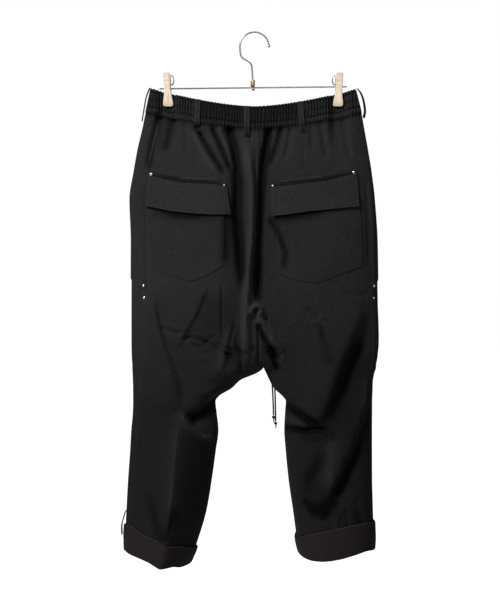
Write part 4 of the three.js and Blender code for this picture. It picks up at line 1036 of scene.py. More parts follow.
def rowHeight(leg, row, t):
    kind, s = row
    t = np.asarray(t, float)
    if kind == "top":
        side = read(leg["sections"], "outer", waist["seamCentre"] + waist["seamRise"])
        return lerp(waistSeam(side * t) + 0.8, panel["levelFrom"], s)
    if kind == "level":
        return np.full_like(t, s)
    return lerp(panel["levelTo"], read(leg["cuff"], "foot", t, "t") + panel["hemInCuff"], s)


def shareAt(leg, z, angle):
    middle = read(leg["sections"], "middle", z)
    turn = np.sin(np.radians(angle))
    close = np.maximum(0.01, read(leg["sections"], "close", z))
    inside = middle * (1 + turn / np.sin(close * math.pi / 2))
    return np.clip(np.where(turn >= 0, middle + (1 - middle) * turn, inside), 0, 1)


def rowPlaces(leg, row, angle):
    t = shareAt(leg, rowHeight(leg, row, 0.5), angle)
    inner = read(leg["sections"], "inner", rowHeight(leg, row, 0))
    outer = read(leg["sections"], "outer", rowHeight(leg, row, 1))
    return lerp(inner, outer, t), rowHeight(leg, row, t)


def seamAngle(leg, row):
    table = leg["sections"]
    z = rowHeight(leg, row, 0.95)
    inner, outer, middle = read(table, "inner", z), read(table, "outer", z), read(table, "middle", z)
    t = (read(table, "seam", z) - inner) / (outer - inner)
    return math.degrees(math.asin(np.clip((t - middle) / (1 - middle), 0, 1)))


def sewEdges(grid, normal, ends=(True, True)):
    # Both side edges turn in a little, as cloth does at a pressed seam.
    along = alongRows(grid)
    dip = 0
    if ends[0]:
        dip = dip + bell(along, panel["seamWidth"])
    if ends[1]:
        dip = dip + bell(along[:, -1:] - along, panel["seamWidth"])
    stitched = 0.85 + 0.3 * ripple(grid[..., 2], grid[..., 0] * 0, 9, 3)
    # Nothing turns in where the four panels meet.
    stitched = stitched * (1 - bell(grid[..., 2] - panel["crotch"], panel["crotchReach"]))
    return grid - normal * (panel["seamDip"] * dip * stitched)[..., None]


def seamSpacing(count):
    middle = np.linspace(0.02, 0.98, count - 7)
    return np.concatenate([[0, 0.0045, 0.009, 0.014], middle, [0.986, 0.991, 0.9955, 1]])


def legPanel(leg, face):
    rows = panelRows()
    grid = []
    for row in rows:
        z = rowHeight(leg, row, 0.5)
        start = -90 * read(leg["sections"], "close", z)
        seam = seamAngle(leg, row)
        if face is back:
            angle = lerp(start, seam, seamSpacing(panel["backColumns"]))
            x, height = rowPlaces(leg, row, angle)
            grid.append(skin(leg, back, x, height))
        else:
            angle = lerp(start, 90, seamSpacing(panel["frontColumns"])[:-4])
            x, height = rowPlaces(leg, row, angle)
            ahead = skin(leg, front, x, height)
            share = np.concatenate([np.linspace(0, 0.94, panel["roundColumns"]), [0.97, 0.985, 1]])
            angle = lerp(90, seam, share)
            x, height = rowPlaces(leg, row, angle)
            grid.append(np.concatenate([ahead, skin(leg, back, x, height)]))
    grid = np.array(grid)
    normal = gridNormals(grid, np.array([0, face["sign"], 0]))
    grid = sewEdges(grid, normal)
    inner = grid - normal * panel["thickness"]
    along = alongRows(grid)
    edge = np.minimum(along, along[:, -1:] - along)
    below = alongColumns(grid)
    # Painted shade in a beaded line under the waist seam; lighter seam edges (rubbed, with painted
    # highlight) and painted fold shade and highlight.
    beads = 0.75 + 0.25 * np.cos(gatherPhase(grid[..., 0], grid[..., 2]))
    underBandShade = 1.3 * beads * bell(below - 1.5, 3.2) + 0.5 * bell(below - 7, 1.6)
    wornAndPaintedLight = 0.15 * bell(edge - 3.2, 1.6) + foldShadeAndHighlight(face, grid[..., 0], grid[..., 2]) - underBandShade
    name = f"{face['name']}_{leg['name']}"
    piece = clothShell(f"{name}_panel", grid, inner, wornAndPaintedLight)
    finishPiece(piece, panelCloth, [name])
    return piece


for leg in (left, right):
    for face in (back, front):
        legPanel(leg, face)
print("leg panels hung")


# Waistband, gathered on its elastic, with rows of stitching

waistband = {
    "thickness": 1.6, "stand": 1.0, "columnStep": 0.95, "rows": 34, "height": 41, "sideFoot": -150,
    "roll": 0.7, "rollAt": 0.12, "rollWidth": 3.2, "closing": 0.07, "frill": 0.55,
    "loopHold": 8, "clipHold": 13, "held": 0.8, "leastDepth": 2.7, "between": (-108, 92),
    "channels": [(0.24, 1.5), (0.55, 0.35), (0.87, 0.9)],  # share of the height, depth of the dip
    "channelWidth": 1.2,
    "flat": (0.62, 0.042), "area": 0.024,
}
loops = {
    "width": 10, "thickness": 1.4, "rows": 44,
    "back": [("back_left", -104, -106, -186), ("back_centre", -14, -14, -194),
             ("back_right", 84, 88, -186)],
    "front": [("front_left", -104, -104, -186), ("front_right", 100, 100, -186)],
    "bow": [(0, 0.9), (0.08, 1.2), (0.3, 2.6), (0.7, 2.6), (0.88, 2.0), (1, 1.5)],
    "side": [
        ("side_left", -1, 0,
         [(-193.2, -102), (-199.4, -118), (-203, -137), (-205.2, -150), (-207.4, -163)]),
        ("side_right", 1, 27,
         [(189.8, -103), (195.4, -110), (200.3, -122), (203, -135), (203.8, -146), (201.6, -157)]),
    ],
    "stitchIn": 1.7,
}


def legAt(x):
    return left if x < 0 else right


def bandBase(face, x, z):
    x, z = np.broadcast_arrays(np.asarray(x, float), np.asarray(z, float))
    onLeft = depthAt(left, face, x, z, False)
    onRight = depthAt(right, face, x, z, False)
    return np.where(x < read(leftSections, "inner", z), onLeft, onRight) + waistband["stand"]


def gatherWave(x, z, up):
    # Rounded ridges with narrow valleys, each a little different.
    phase = gatherPhase(x, z) + 0.35 * np.sin(z / 7 + x / 13)
    ridge = (0.5 + 0.5 * np.cos(phase)) ** 0.75
    half = gather["half"] * np.cos(2 * phase + 1.3 + 1.5 * ripple(x, z, 22, 5))
    strong = 0.8 + 0.5 * ripple(x, up * 6, 18, 9)
    return gather["height"] * ((2 * ridge - 1) * strong + half)


def bandDepth(face, x, z, wave):
    held = 0
    for _, at, _, _ in loops[face["name"]]:
        held = np.maximum(held, np.exp(-((x - at) / waistband["loopHold"]) ** 4))
    for clip in waist["clips"]:
        held = np.maximum(held, np.exp(-((x - clip) / waistband["clipHold"]) ** 4))
    return np.maximum(waistband["leastDepth"], bandBase(face, x, z) + wave * (1 - waistband["held"] * held))


def makeWaistband(face):
    foot, height = waistband["sideFoot"], waistband["height"]
    low, high = read(leftSections, "outer", foot), read(rightSections, "outer", foot)
    count = int((high - low) / waistband["columnStep"])
    share = np.linspace(0, 1, count + 1)
    reach = np.abs(2 * share - 1)
    outerGrid, innerGrid, bandPaintedLight = [], [], []
    for up in np.linspace(0, 1, waistband["rows"]):
        rough = lerp(waistSeam(reach * waist["seamHalf"]), waistTop(reach * waist["topHalf"]), up)
        onLeft, onRight = read(leftSections, "outer", rough), read(rightSections, "outer", rough)
        x = reach * np.where(share < 0.5, onLeft, onRight)
        z = lerp(waistSeam(x), waistTop(x), up)
        wave = gatherWave(x, z, up)
        fullness = lerp(0.8, 1, smooth(up / 0.15)) * lerp(1, 0.7, smooth((up - 0.9) / 0.1))
        sunk = 0
        for line, depth in waistband["channels"]:
            sunk = sunk + depth * bell((up - line) * height, waistband["channelWidth"])
        # The corded edge over the seam stands out.
        roll = waistband["roll"] * bell((up - waistband["rollAt"]) * height, waistband["rollWidth"])
        wave = wave * fullness * (1 - 0.25 * sunk) - sunk + roll
        edge = bell(up * height, 0.9) + bell((1 - up) * height, 0.9)
        depth = bandDepth(face, x, z, wave) - 0.5 * edge
        closing = smooth(1 - (1 - reach) / waistband["closing"])
        depth = np.where(reach > 0.9999, 0.15, depth)
        z = z + waistband["frill"] * smooth((up - 0.8) / 0.2) * np.cos(gatherPhase(x, z))
        outX = x + np.where(share < 0.5, -1, 1) * closing
        outerGrid.append(np.stack([outX, face["sign"] * depth, z], -1))
        direction = np.stack([np.where(share < 0.5, -2, 2) * closing,
                              face["sign"] * np.where(reach > 0.9999, 0, 1.0), np.zeros_like(x)], -1)
        direction /= np.linalg.norm(direction, axis=1, keepdims=True)
        behind = outerGrid[-1] - direction * waistband["thickness"]
        behind[:, 1] = face["sign"] * np.maximum(0.15, face["sign"] * behind[:, 1])
        innerGrid.append(behind)
        # Painted shade in the gather valleys, along the stitch rows and on the back between its outer
        # loops; lighter crests and edges are painted highlight.
        crest = np.clip(0.5 + wave / (2 * gather["height"]), 0, 1)
        fromLoop, toLoop = waistband["between"]  # the back is darker between its outer loops
        between = smooth((x - fromLoop) / 8) * smooth((toLoop - x) / 8) if face is back else 0
        rows = sum(bell((up - line) * height, 1.3) for line, _ in waistband["channels"])
        shaded = 0.9 * (1 - crest) ** 1.3 + 0.35 * between + 0.5 * rows
        bandPaintedLight.append(0.2 * crest ** 3 + 0.1 * edge - shaded)
    outerGrid, innerGrid = np.array(outerGrid), np.array(innerGrid)
    wornAndPaintedLight = np.clip(bandPaintedLight, -1, 1)
    piece = clothShell(f"waistband_{face['name']}_gathered", outerGrid, innerGrid, wornAndPaintedLight, 60)
    finishPiece(piece, bandCloth, [f"waistband_{face['name']}"])
    return outerGrid


bandGrids = {face["name"]: makeWaistband(face) for face in (back, front)}
print("waistband gathered")


# Sewing: little stitches laid along lines, joined into one piece for each part

sewing = {"stitch": 2.0, "gap": 1.0, "radius": 0.22, "lift": 0.08}
sewingLines = {}


def stitchLine(group, points, normal):
    sewingLines.setdefault(group, []).append((np.asarray(points, float), np.asarray(normal, float)))


def stitchMesh(points, normal):
    step = np.linalg.norm(np.diff(points, axis=0), axis=1)
    along = np.concatenate([[0], np.cumsum(step)])
    pitch = sewing["stitch"] + sewing["gap"]
    count = int(along[-1] / pitch)
    sides = 5
    angle = np.linspace(0, 2 * math.pi, sides, endpoint=False)
    allPoints, allFaces = [], []
    for i in range(count):
        ends = (np.array([i, i]) + 0.5) * pitch + np.array([-0.5, 0.5]) * sewing["stitch"]
        a, b = (np.array([np.interp(at, along, points[:, k]) for k in range(3)]) for at in ends)
        up = np.array([np.interp(ends.mean(), along, normal[:, k]) for k in range(3)])
        up /= np.linalg.norm(up)
        run = b - a
        length = np.linalg.norm(run)
        if length < 0.2:
            continue
        run /= length
        side = np.cross(run, up)
        start = sum(len(p) for p in allPoints)
        rings = []
        for share, radius, high in ((0.12, 0.8, 0.3), (0.88, 0.8, 0.3)):
            centre = lerp(a, b, share) + up * (sewing["lift"] + high * sewing["radius"])
            ring = centre + sewing["radius"] * radius * (
                np.outer(np.cos(angle), side) + np.outer(np.sin(angle), up))
            rings.append(ring)
        low = up * (sewing["lift"] - sewing["radius"])
        allPoints.append(np.concatenate([rings[0], rings[1], [a + low, b + low]]))
        for k in range(sides):
            n = (k + 1) % sides
            allFaces.append((start + k, start + n, start + sides + n, start + sides + k))
            allFaces.append((start + n, start + k, start + 2 * sides))
            allFaces.append((start + sides + k, start + sides + n, start + 2 * sides + 1))
    if not allPoints:
        return None
    return np.concatenate(allPoints), allFaces


def gridPath(grid, normal, rows, columns, path, lift=0.0, count=240):
    # Points on a grid along a path of (column share, row share) places.
    path = np.array(path, float)
    reach = np.concatenate([[0], np.cumsum(np.linalg.norm(np.diff(path, axis=0), axis=1))])
    at = np.linspace(0, reach[-1], count)
    u, v = np.interp(at, reach, path[:, 0]), np.interp(at, reach, path[:, 1])
    fi = np.interp(u, columns, np.arange(len(columns)))
    fj = np.interp(v, rows, np.arange(len(rows)))
    i, j = np.minimum(fi.astype(int), len(columns) - 2), np.minimum(fj.astype(int), len(rows) - 2)
    a, b = (fi - i)[:, None], (fj - j)[:, None]

    def mix(values):
        upper = lerp(values[j, i], values[j, i + 1], a)
        return lerp(upper, lerp(values[j + 1, i], values[j + 1, i + 1], a), b)
    return mix(grid) + mix(normal) * lift, mix(normal)


def stitchBand(face):
    grid = bandGrids[face["name"]]
    normal = gridNormals(grid, np.array([0, face["sign"], 0]))
    rows, columns = np.linspace(0, 1, grid.shape[0]), np.linspace(0, 1, grid.shape[1])
    for line, _ in waistband["channels"]:
        points, up = gridPath(grid, normal, rows, columns, [(0.03, line), (0.97, line)], 0.05, 700)
        stitchLine(f"band_{face['name']}", points, up)


stitchBand(back)
stitchBand(front)


# Pieces sewn flat on the panels

def edgeRoll(length, across, amount=1.0):
    # 0 at both edges of a piece, 1 once past its rounded edge.
    away = np.minimum(across, 1 - across) * length
    return np.sqrt(np.clip(away / amount, 0, 1))


def patchRoll(width, height, gridU, gridV):
    # Rounded at the sides and the foot.
    return edgeRoll(width, gridU) * np.sqrt(np.clip((1 - gridV) * height, 0, 1))


def stitchDent(width, height, gridU, gridV, inset):
    # Where the stitches at the sides and the foot pull the cloth in.
    away = np.minimum(gridU, 1 - gridU) * width
    return np.maximum(bell(away - inset, 0.7), bell((1 - gridV) * height - inset, 0.7))


pockets = {
    "left": {
        "leg": left,
        "flapTop": [(-50, -284), (-68, -279), (-134, -275), (-194, -260)],
        "flapFoot": [(-44, -341), (-104, -339), (-149, -334), (-198, -323)],
        "welt": [(-66, -274.5), (-134, -271.5)],
        "inner": (-54, -55), "outer": (-193, -191),
        "foot": [(-55, -433), (-87, -451), (-116, -461), (-158, -448), (-191, -432)],
        "shadow": (0.56, 0.34),  # place across the flap and reach of the deepest shadow
    },
    "right": {
        "leg": right,
        "flapTop": [(28, -284), (75, -279), (125, -273), (186, -256)],
        "flapFoot": [(30, -344), (60, -340), (95, -335), (189, -324)],
        "welt": [(44, -276), (124, -269.5)],
        "inner": (33, 44), "outer": (191, 198),
        "foot": [(44, -446), (64, -455), (82, -461), (114, -464), (198, -432)],
        "shadow": (0.22, 0.3),
    },
}
pocketCut = {
    "width": 140, "height": 170, "stitchIn": 2.3,
    "topBelowFlap": 12, "thickness": 1.2, "step": 2.6, "puff": 1.3, "dent": 0.4,
    "footWave": 0.7, "mouthGap": 1.6, "mouthShare": 0.35, "footPucker": 0.35,
    "flapWidth": 150, "flapHeight": 58, "flapStitchIn": 2.8, "flapThickness": 1.4, "flapDent": 0.45,
    "flapRows": [(0, 0.2), (0.035, 0.6), (0.08, 1.4), (0.2, 2.6), (0.6, 3.2), (1, 5.0)],
    "flapWave": 0.5, "flapLift": 1.1,
    # flapShade paints shade in the pressed groove.
    "flapPress": 3.6, "flapShade": 1.3,  # the flap is pressed down at its top seam
    "weltWidth": 74, "weltHeight": 4.5, "flat": (0.146, 0.176), "area": 0.0235,
    "flapFlat": (0.152, 0.062), "flapArea": 0.0089,
}


def backPocket(name, cut):
    leg = cut["leg"]
    width, height, inset = pocketCut["width"], pocketCut["height"], pocketCut["stitchIn"]
    u, v = borderSteps(width, pocketCut["step"]), borderSteps(height, pocketCut["step"])
    gridU, gridV = np.meshgrid(u, v)
    x = lerp(lerp(*cut["inner"], gridV), lerp(*cut["outer"], gridV), gridU)
    top = edgeAt(cut["flapTop"], x) - pocketCut["topBelowFlap"]
    z = lerp(top, edgeAt(cut["foot"], x), gridV)
    z = z + pocketCut["footWave"] * ripple(x, z * 0, 24, 51) * smooth((gridV - 0.9) / 0.1)
    roll = patchRoll(width, height, gridU, gridV)
    dent = stitchDent(width, height, gridU, gridV, inset) * pocketCut["dent"]
    puff = pocketCut["puff"] * (np.sin(np.pi * gridU) * np.sin(np.pi * np.clip(gridV * 1.05, 0, 1))) ** 0.6
    opened = smooth((pocketCut["mouthShare"] - gridV) / pocketCut["mouthShare"])
    mouth = pocketCut["mouthGap"] * opened * np.sin(np.pi * gridU)
    off = 0.15 + pocketCut["thickness"] * roll + puff + mouth - dent
    off = off + pocketCut["footPucker"] * ripple(x, z, 15, 52) * bell((1 - gridV) * height - 5, 6)
    outerGrid = skin(leg, back, x, z, off)
    innerGrid = skin(leg, back, x, z, np.full_like(off, 0.05))
    below = np.interp(x, *np.array(cut["flapFoot"][::(1 if leg is right else -1)]).T) - z
    shadow = 0.5 * np.sin(np.pi * gridU) * bell(np.maximum(0, below), 6)
    deepest = bell(gridU - cut["shadow"][0], cut["shadow"][1])
    shadow = shadow + 1.3 * deepest * bell(np.maximum(0, below), 13)
    # Lighter rolled edges (rubbed, with painted highlight), painted fold shade and highlight, less the
    # painted shadow under the flap.
    wornAndPaintedLight = 0.1 * (1 - roll) + foldShadeAndHighlight(back, x, z) - shadow
    piece = clothShell(f"pocket_{name}_patch", outerGrid, innerGrid, np.clip(wornAndPaintedLight, -1, 1))
    finishPiece(piece, pocketCloth, [f"pocket_{name}"])
    normal = gridNormals(outerGrid, np.array([0, -1, 0]))
    a, b = inset / width, inset / height
    line = [(a, 0.08), (a, 1 - b), (1 - a, 1 - b), (1 - a, 0.08)]
    points, up = gridPath(outerGrid, normal, v, u, line, 0.02, 500)
    stitchLine("pockets", points, up)


def pocketFlap(name, cut):
    leg = cut["leg"]
    width, height, inset = pocketCut["flapWidth"], pocketCut["flapHeight"], pocketCut["flapStitchIn"]
    u, v = borderSteps(width, 2.4), borderSteps(height, 2.0)
    gridU, gridV = np.meshgrid(u, v)
    topX = lerp(cut["flapTop"][0][0], cut["flapTop"][3][0], gridU)
    footX = lerp(cut["flapFoot"][0][0], cut["flapFoot"][3][0], gridU)
    x = lerp(topX, footX, gridV)
    z = lerp(edgeAt(cut["flapTop"], topX), edgeAt(cut["flapFoot"], footX), gridV)
    z = z + pocketCut["flapWave"] * ripple(x, z * 0, 40, 61) * smooth((gridV - 0.7) / 0.3)
    rows = np.array(pocketCut["flapRows"])
    under = np.interp(gridV, rows[:, 0], rows[:, 1])
    lifted = (0.5 + 0.5 * ripple(x, z * 0, 48, 62)) * pocketCut["flapLift"]
    under = under + lifted * smooth((gridV - 0.45) / 0.55)
    roll = patchRoll(width, height, gridU, gridV) * np.sqrt(np.clip(gridV * height / 0.8, 0.15, 1))
    dent = stitchDent(width, height, gridU, gridV, inset) * pocketCut["flapDent"]
    dent = np.maximum(dent, bell(gridV * height - pocketCut["flapPress"], 1.2))
    outerGrid = skin(leg, back, x, z, under + pocketCut["flapThickness"] * (0.35 + 0.65 * roll) - dent)
    innerGrid = skin(leg, back, x, z, under)
    edge = np.minimum(np.minimum(gridU, 1 - gridU) * width, (1 - gridV) * height)
    # Painted highlight along the foot and side edges, painted fold shade and highlight, and painted shade
    # in the pressed groove at the top.
    wornAndPaintedLight = 0.3 * bell((1 - gridV) * height - 0.8, 0.9) + 0.15 * bell(edge - 1.1, 0.9)
    pressed = bell(gridV * height - pocketCut["flapPress"], 1.6)
    wornAndPaintedLight = wornAndPaintedLight + 0.6 * foldShadeAndHighlight(back, x, z) - pocketCut["flapShade"] * pressed
    piece = clothShell(f"flap_{name}_cover", outerGrid, innerGrid, np.clip(wornAndPaintedLight, -1, 1))
    finishPiece(piece, flapCloth, [f"flap_{name}"])
    normal = gridNormals(outerGrid, np.array([0, -1, 0]))
    a, b = inset / width, inset / height
    for line in ([(a, b), (a, 1 - b), (1 - a, 1 - b), (1 - a, b)], [(a, b), (1 - a, b)]):
        points, up = gridPath(outerGrid, normal, v, u, line, 0.02, 400)
        stitchLine("flaps", points, up)


def pocketWelt(name, cut):
    leg = cut["leg"]
    u, v = borderSteps(pocketCut["weltWidth"], 2.0), np.linspace(0, 1, 9)
    gridU, gridV = np.meshgrid(u, v)
    x = lerp(cut["welt"][0][0], cut["welt"][1][0], gridU)
    z = edgeAt(cut["flapTop"], x) + 0.7 + (1 - gridV) * pocketCut["weltHeight"]
    crown = np.sqrt(np.clip(np.minimum(gridV, 1 - gridV) * 2.2, 0, 1))
    crown = crown * edgeRoll(pocketCut["weltWidth"], gridU, 2.0)
    outerGrid = skin(leg, back, x, z, 0.15 + 0.9 * crown)
    innerGrid = skin(leg, back, x, z, np.full_like(x, 0.02))
    # Lighter over the crown: painted highlight.
    piece = clothShell(f"welt_{name}_strip", outerGrid, innerGrid, 0.15 * crown ** 2)
    finishPiece(piece, flapCloth, [f"welt_{name}"])


for name, cut in pockets.items():
    backPocket(name, cut)
    pocketFlap(name, cut)
    pocketWelt(name, cut)
print("back pockets sewn")


# Side pocket patches, from the side seam round to the front

sidePocket = {
    "top": -244, "seamFoot": -476, "edgeFoot": -452, "frontFoot": -440, "frontShare": 0.6,
    "height": 215, "backReach": 34, "frontReach": 80, "stitchIn": 2.4,
    "off": 0.5, "thickness": 1.2, "flat": (0.125, 0.215), "area": 0.0215,
}


def sidePatch(leg):
    name = leg["name"]
    height = sidePocket["height"]
    backTurn = borderSteps(sidePocket["backReach"], 2.2)
    backTurn = np.concatenate([backTurn[backTurn < 0.5], np.linspace(0.5, 1, 9)])
    frontTurn = 1 - borderSteps(sidePocket["frontReach"], 2.6)[::-1]
    frontTurn = np.concatenate([np.linspace(0.02, 0.4, 9), frontTurn[frontTurn > 0.42]])
    v = borderSteps(height, 2.8)
    table = leg["sections"]
    strips = []
    for face, turn in ((back, backTurn), (front, frontTurn)):
        gridTurn, gridV = np.meshgrid(turn, v)
        if face is back:
            foot = lerp(sidePocket["seamFoot"], sidePocket["edgeFoot"], gridTurn)
        else:
            foot = lerp(sidePocket["edgeFoot"], sidePocket["frontFoot"], gridTurn)
        z = lerp(sidePocket["top"], foot, gridV)
        outerX, innerX = read(table, "outer", z), read(table, "inner", z)
        seamX = read(table, "seam", z) + leg["side"] * 1.2
        frontX = lerp(innerX, outerX, sidePocket["frontShare"])
        if face is back:
            x = lerp(seamX, outerX, np.sin(gridTurn * math.pi / 2))
        else:
            x = lerp(outerX, frontX, 1 - np.cos(gridTurn * math.pi / 2))
        strips.append((face, x, z, gridV))
    outerParts, innerParts = [], []
    for face, x, z, gridV in strips:
        roll = np.sqrt(np.clip(np.minimum(gridV, 1 - gridV) * height, 0, 1))
        risen = smooth(gridV / 0.3)  # the patch is caught in the pocket mouth, so its top lies flush
        off = 0.1 + (sidePocket["off"] + sidePocket["thickness"] * (0.2 + 0.8 * roll)) * risen
        off = off - 0.4 * bell((1 - gridV) * height - sidePocket["stitchIn"], 0.7)
        outerParts.append(skin(leg, face, x, z, off))
        innerParts.append(skin(leg, face, x, z, np.full_like(off, 0.02)))
    outerGrid, innerGrid = np.concatenate(outerParts, axis=1), np.concatenate(innerParts, axis=1)
    along = alongRows(outerGrid)
    edge = np.minimum(along, along[:, -1:] - along)
    down = np.minimum(alongColumns(outerGrid)[-1:] - alongColumns(outerGrid), 60)
    press = (1 - smooth(edge / 7.0))[..., None]
    outerGrid = outerGrid + (innerGrid - outerGrid) * 0.8 * press
    # Lighter along the foot edge: rubbed, with painted highlight.
    wornAndPaintedLight = 0.2 * bell(down - 0.8, 0.8)
    piece = clothShell(f"side_pocket_{name}_patch", outerGrid, innerGrid, wornAndPaintedLight)
    finishPiece(piece, pocketCloth, [f"side_pocket_{name}"])
    columnShare = np.linspace(0, 1, outerGrid.shape[1])
    normal = gridNormals(outerGrid, outerGrid - innerGrid)
    line = 1 - sidePocket["stitchIn"] / height
    points, up = gridPath(outerGrid, normal, v, columnShare, [(0.03, line), (0.97, line)], 0.02, 300)
    stitchLine("side_pockets", points, up)


sidePatch(left)
sidePatch(right)
print("side pockets sewn")


# Rivets

rivets = {
    "radius": 2.4, "innerRadius": 1.9, "outerRadius": 2.8, "height": 1.4,
    "inset": 5, "drop": 3.5, "onFlap": 2.05,
    "side": {
        "left_upper": (left, -202, -468, 1.7), "left_lower": (left, -202, -490, 0.1),
        "right_upper": (right, 218.5, -468, 1.7), "right_lower": (right, 219, -490, 0.1),
    },
}


def rivetPiece(node, leg, x, z, off, radius=rivets["radius"]):
    # Domed cap with a rolled flange and a small flat on top.
    r, h = radius, rivets["height"]
    profile = [(r * 0.8, -0.4), (r, -0.1), (r * 1.02, 0.25), (r * 0.96, 0.5), (r * 0.8, 0.62),
               (r * 0.74, 0.8), (r * 0.62, h * 0.82), (r * 0.42, h * 0.97), (r * 0.18, h), (r * 0.02, h)]
    points, faces = lathe(profile, 28)
    place = skin(leg, back, np.array([x]), np.array([z]), np.array([off]))[0]
    up = outwardAt(leg, back, np.array([float(x)]), np.array([float(z)]))[0]
    side = np.cross(up, [0, 0, 1.0])
    side /= np.linalg.norm(side)
    turned = points @ np.array([side, np.cross(up, side), up])
    piece = meshPiece(f"{node}_cap", turned + place, faces, sharpAngle=40)
    finishPiece(piece, rivetMetal, [node])


for name, cut in pockets.items():
    for end, at, way, radius in (("inner", cut["flapTop"][0][0], 1, rivets["innerRadius"]),
                                 ("outer", cut["flapTop"][3][0], -1, rivets["outerRadius"])):
        x = at + way * cut["leg"]["side"] * rivets["inset"]
        z = edgeAt(cut["flapTop"], x) - rivets["drop"]
        rivetPiece(f"rivet_flap_{name}_{end}", cut["leg"], x, z, rivets["onFlap"], radius)
for name, place in rivets["side"].items():
    rivetPiece(f"rivet_side_{name}", *place)
print("rivets set")


# Belt loops

def loopShell(name, middle, along, out, low=0.0):
    # Flat strap on a middle line, with rolled edges and a dent under each stitch row.
    width = loops["width"]
    across = borderSteps(width, 0.9, (0, 0.3, 0.7, 1.2, 1.7, 2.2, 2.8))
    rows = len(middle)
    grid, behind, wornAndPaintedLight = np.zeros((rows, len(across), 3)), np.zeros((rows, len(across), 3)), []
    for i, s in enumerate(across):
        roll = math.sqrt(min(1, min(s, 1 - s) * width / 0.8))
        dent = 0.28 * bell(min(s, 1 - s) * width - loops["stitchIn"], 0.5)
        thick = loops["thickness"] * (0.35 + 0.65 * roll) - dent
        at = middle + along * (s - 0.5) * width
        grid[:, i] = at + out * thick
        behind[:, i] = at + out * low
        # Painted shade over the lower half and a little overall; lighter edges, rubbed, with painted
        # highlight.
        lower = 0.7 * smooth((np.linspace(0, 1, rows) - 0.55) / 0.45)
        wornAndPaintedLight.append(0.7 * bell(min(s, 1 - s) * width - 0.9, 0.9) - lower - 0.2)
    piece = clothShell(f"{name}_strap", grid, behind, np.array(wornAndPaintedLight).T)
    finishPiece(piece, flapCloth, [name])
    normal = gridNormals(grid, out)
    rowShare = np.linspace(0, 1, rows)
    for s in (loops["stitchIn"] / width, 1 - loops["stitchIn"] / width):
        points, up = gridPath(grid, normal, rowShare, across, [(s, 0.02), (s, 0.98)], 0.02, 80)
        stitchLine("loops", points, up)
    for row in (0.95, 0.975, 0.03):
        points, up = gridPath(grid, normal, rowShare, across, [(0.12, row), (0.88, row)], 0.1, 40)
        stitchLine("loops", points, up)


def faceLoop(face, name, top, foot, low):
    high = waistTop(top) - 0.5
    share = np.linspace(0, 1, loops["rows"])
    z, x = lerp(high, low, share), lerp(top, foot, share)
    bow = np.array(loops["bow"])
    off = np.interp(share, bow[:, 0], bow[:, 1])
    off = np.convolve(np.pad(off, 2, "edge"), np.ones(5) / 5, "valid")
    seam = waistSeam(x)
    panelDepth = depthAt(legAt(top), face, x, np.minimum(z, seam), False)
    band = bandDepth(face, x, np.maximum(z, seam), gather["height"] * 0.5)
    under = lerp(panelDepth, band, smooth((z - seam + 7) / 7))
    middle = np.stack([x, face["sign"] * (under + off), z], -1)
    loopShell(f"loop_{name}", middle, np.array([1.0, 0, 0]), np.array([0, face["sign"], 0.0]))


def sideLoop(name, side, turn, bow):
    turn = math.radians(turn)
    out = np.array([side * math.cos(turn), -math.sin(turn), 0])
    along = np.array([side * math.sin(turn), math.cos(turn), 0])
    middle = smoothPath([(x, 0, z) for x, z in bow], loops["rows"])
    loopShell(f"loop_{name}", middle, along, out)


for face in (back, front):
    for loop in loops[face["name"]]:
        faceLoop(face, *loop)
for loop in loops["side"]:
    sideLoop(*loop)
print("belt loops sewn")


# Turn-ups and the tab on the left one

cuff = {
    "height": 46, "stand": 0.6, "flare": 1.5, "thickness": 1.7, "bulge": 0.9, "sag": 0.7,
    "columns": 120, "rows": 26,
    "flat": {"left": (0.215, 0.040), "right": (0.200, 0.046)},
    "area": {"left": 0.0076, "right": 0.0082},
    "tab": [(-237.5, -884), (-242.3, -900), (-244.7, -911), (-244.3, -927)],
    "tabWidth": 14, "tabThickness": 1.6,
}


def cuffHalf(leg, face):
    angle = lerp(-90, 90, seamSpacing(cuff["columns"]))
    height = cuff["height"]
    ups = 1 - borderSteps(height, height / cuff["rows"], (0, 0.3, 0.7, 1.2, 1.8, 2.6))
    rough = read(leg["cuff"], "foot", 0.5, "t") + 20
    t = shareAt(leg, rough, angle)
    gridT, gridUp = np.meshgrid(t, ups)
    z = lerp(read(leg["cuff"], "foot", gridT, "t"), read(leg["cuff"], "top", gridT, "t"), gridUp)
    x = lerp(read(leg["sections"], "inner", z), read(leg["sections"], "outer", z), gridT)
    stand = cuff["stand"] + cuff["flare"] * gridUp
    roll = np.sqrt(np.clip(np.minimum(gridUp, 1 - gridUp) * height / 1.3, 0, 1))
    bulge = (cuff["bulge"] + cuff["sag"] * ripple(x, z, 30, 71)) * np.sin(np.pi * gridUp)
    outerGrid = skin(leg, face, x, z, stand + cuff["thickness"] * (0.25 + 0.75 * roll) + bulge, False)
    innerGrid = skin(leg, face, x, z, stand, False)
    normal = gridNormals(outerGrid, np.array([0, face["sign"], 0]))
    outerGrid = sewEdges(outerGrid, normal)
    # Lighter along the top fold and the foot: rubbed, with painted highlight.
    wornAndPaintedLight = 0.4 * bell((1 - gridUp) * height - 0.6, 0.8) + 0.2 * bell(gridUp * height - 0.8, 1.0)
    name = f"cuff_{face['name']}_{leg['name']}"
    piece = clothShell(f"{name}_turnup", outerGrid, innerGrid, np.clip(wornAndPaintedLight, 0, 1))
    finishPiece(piece, cuffCloth, [name])


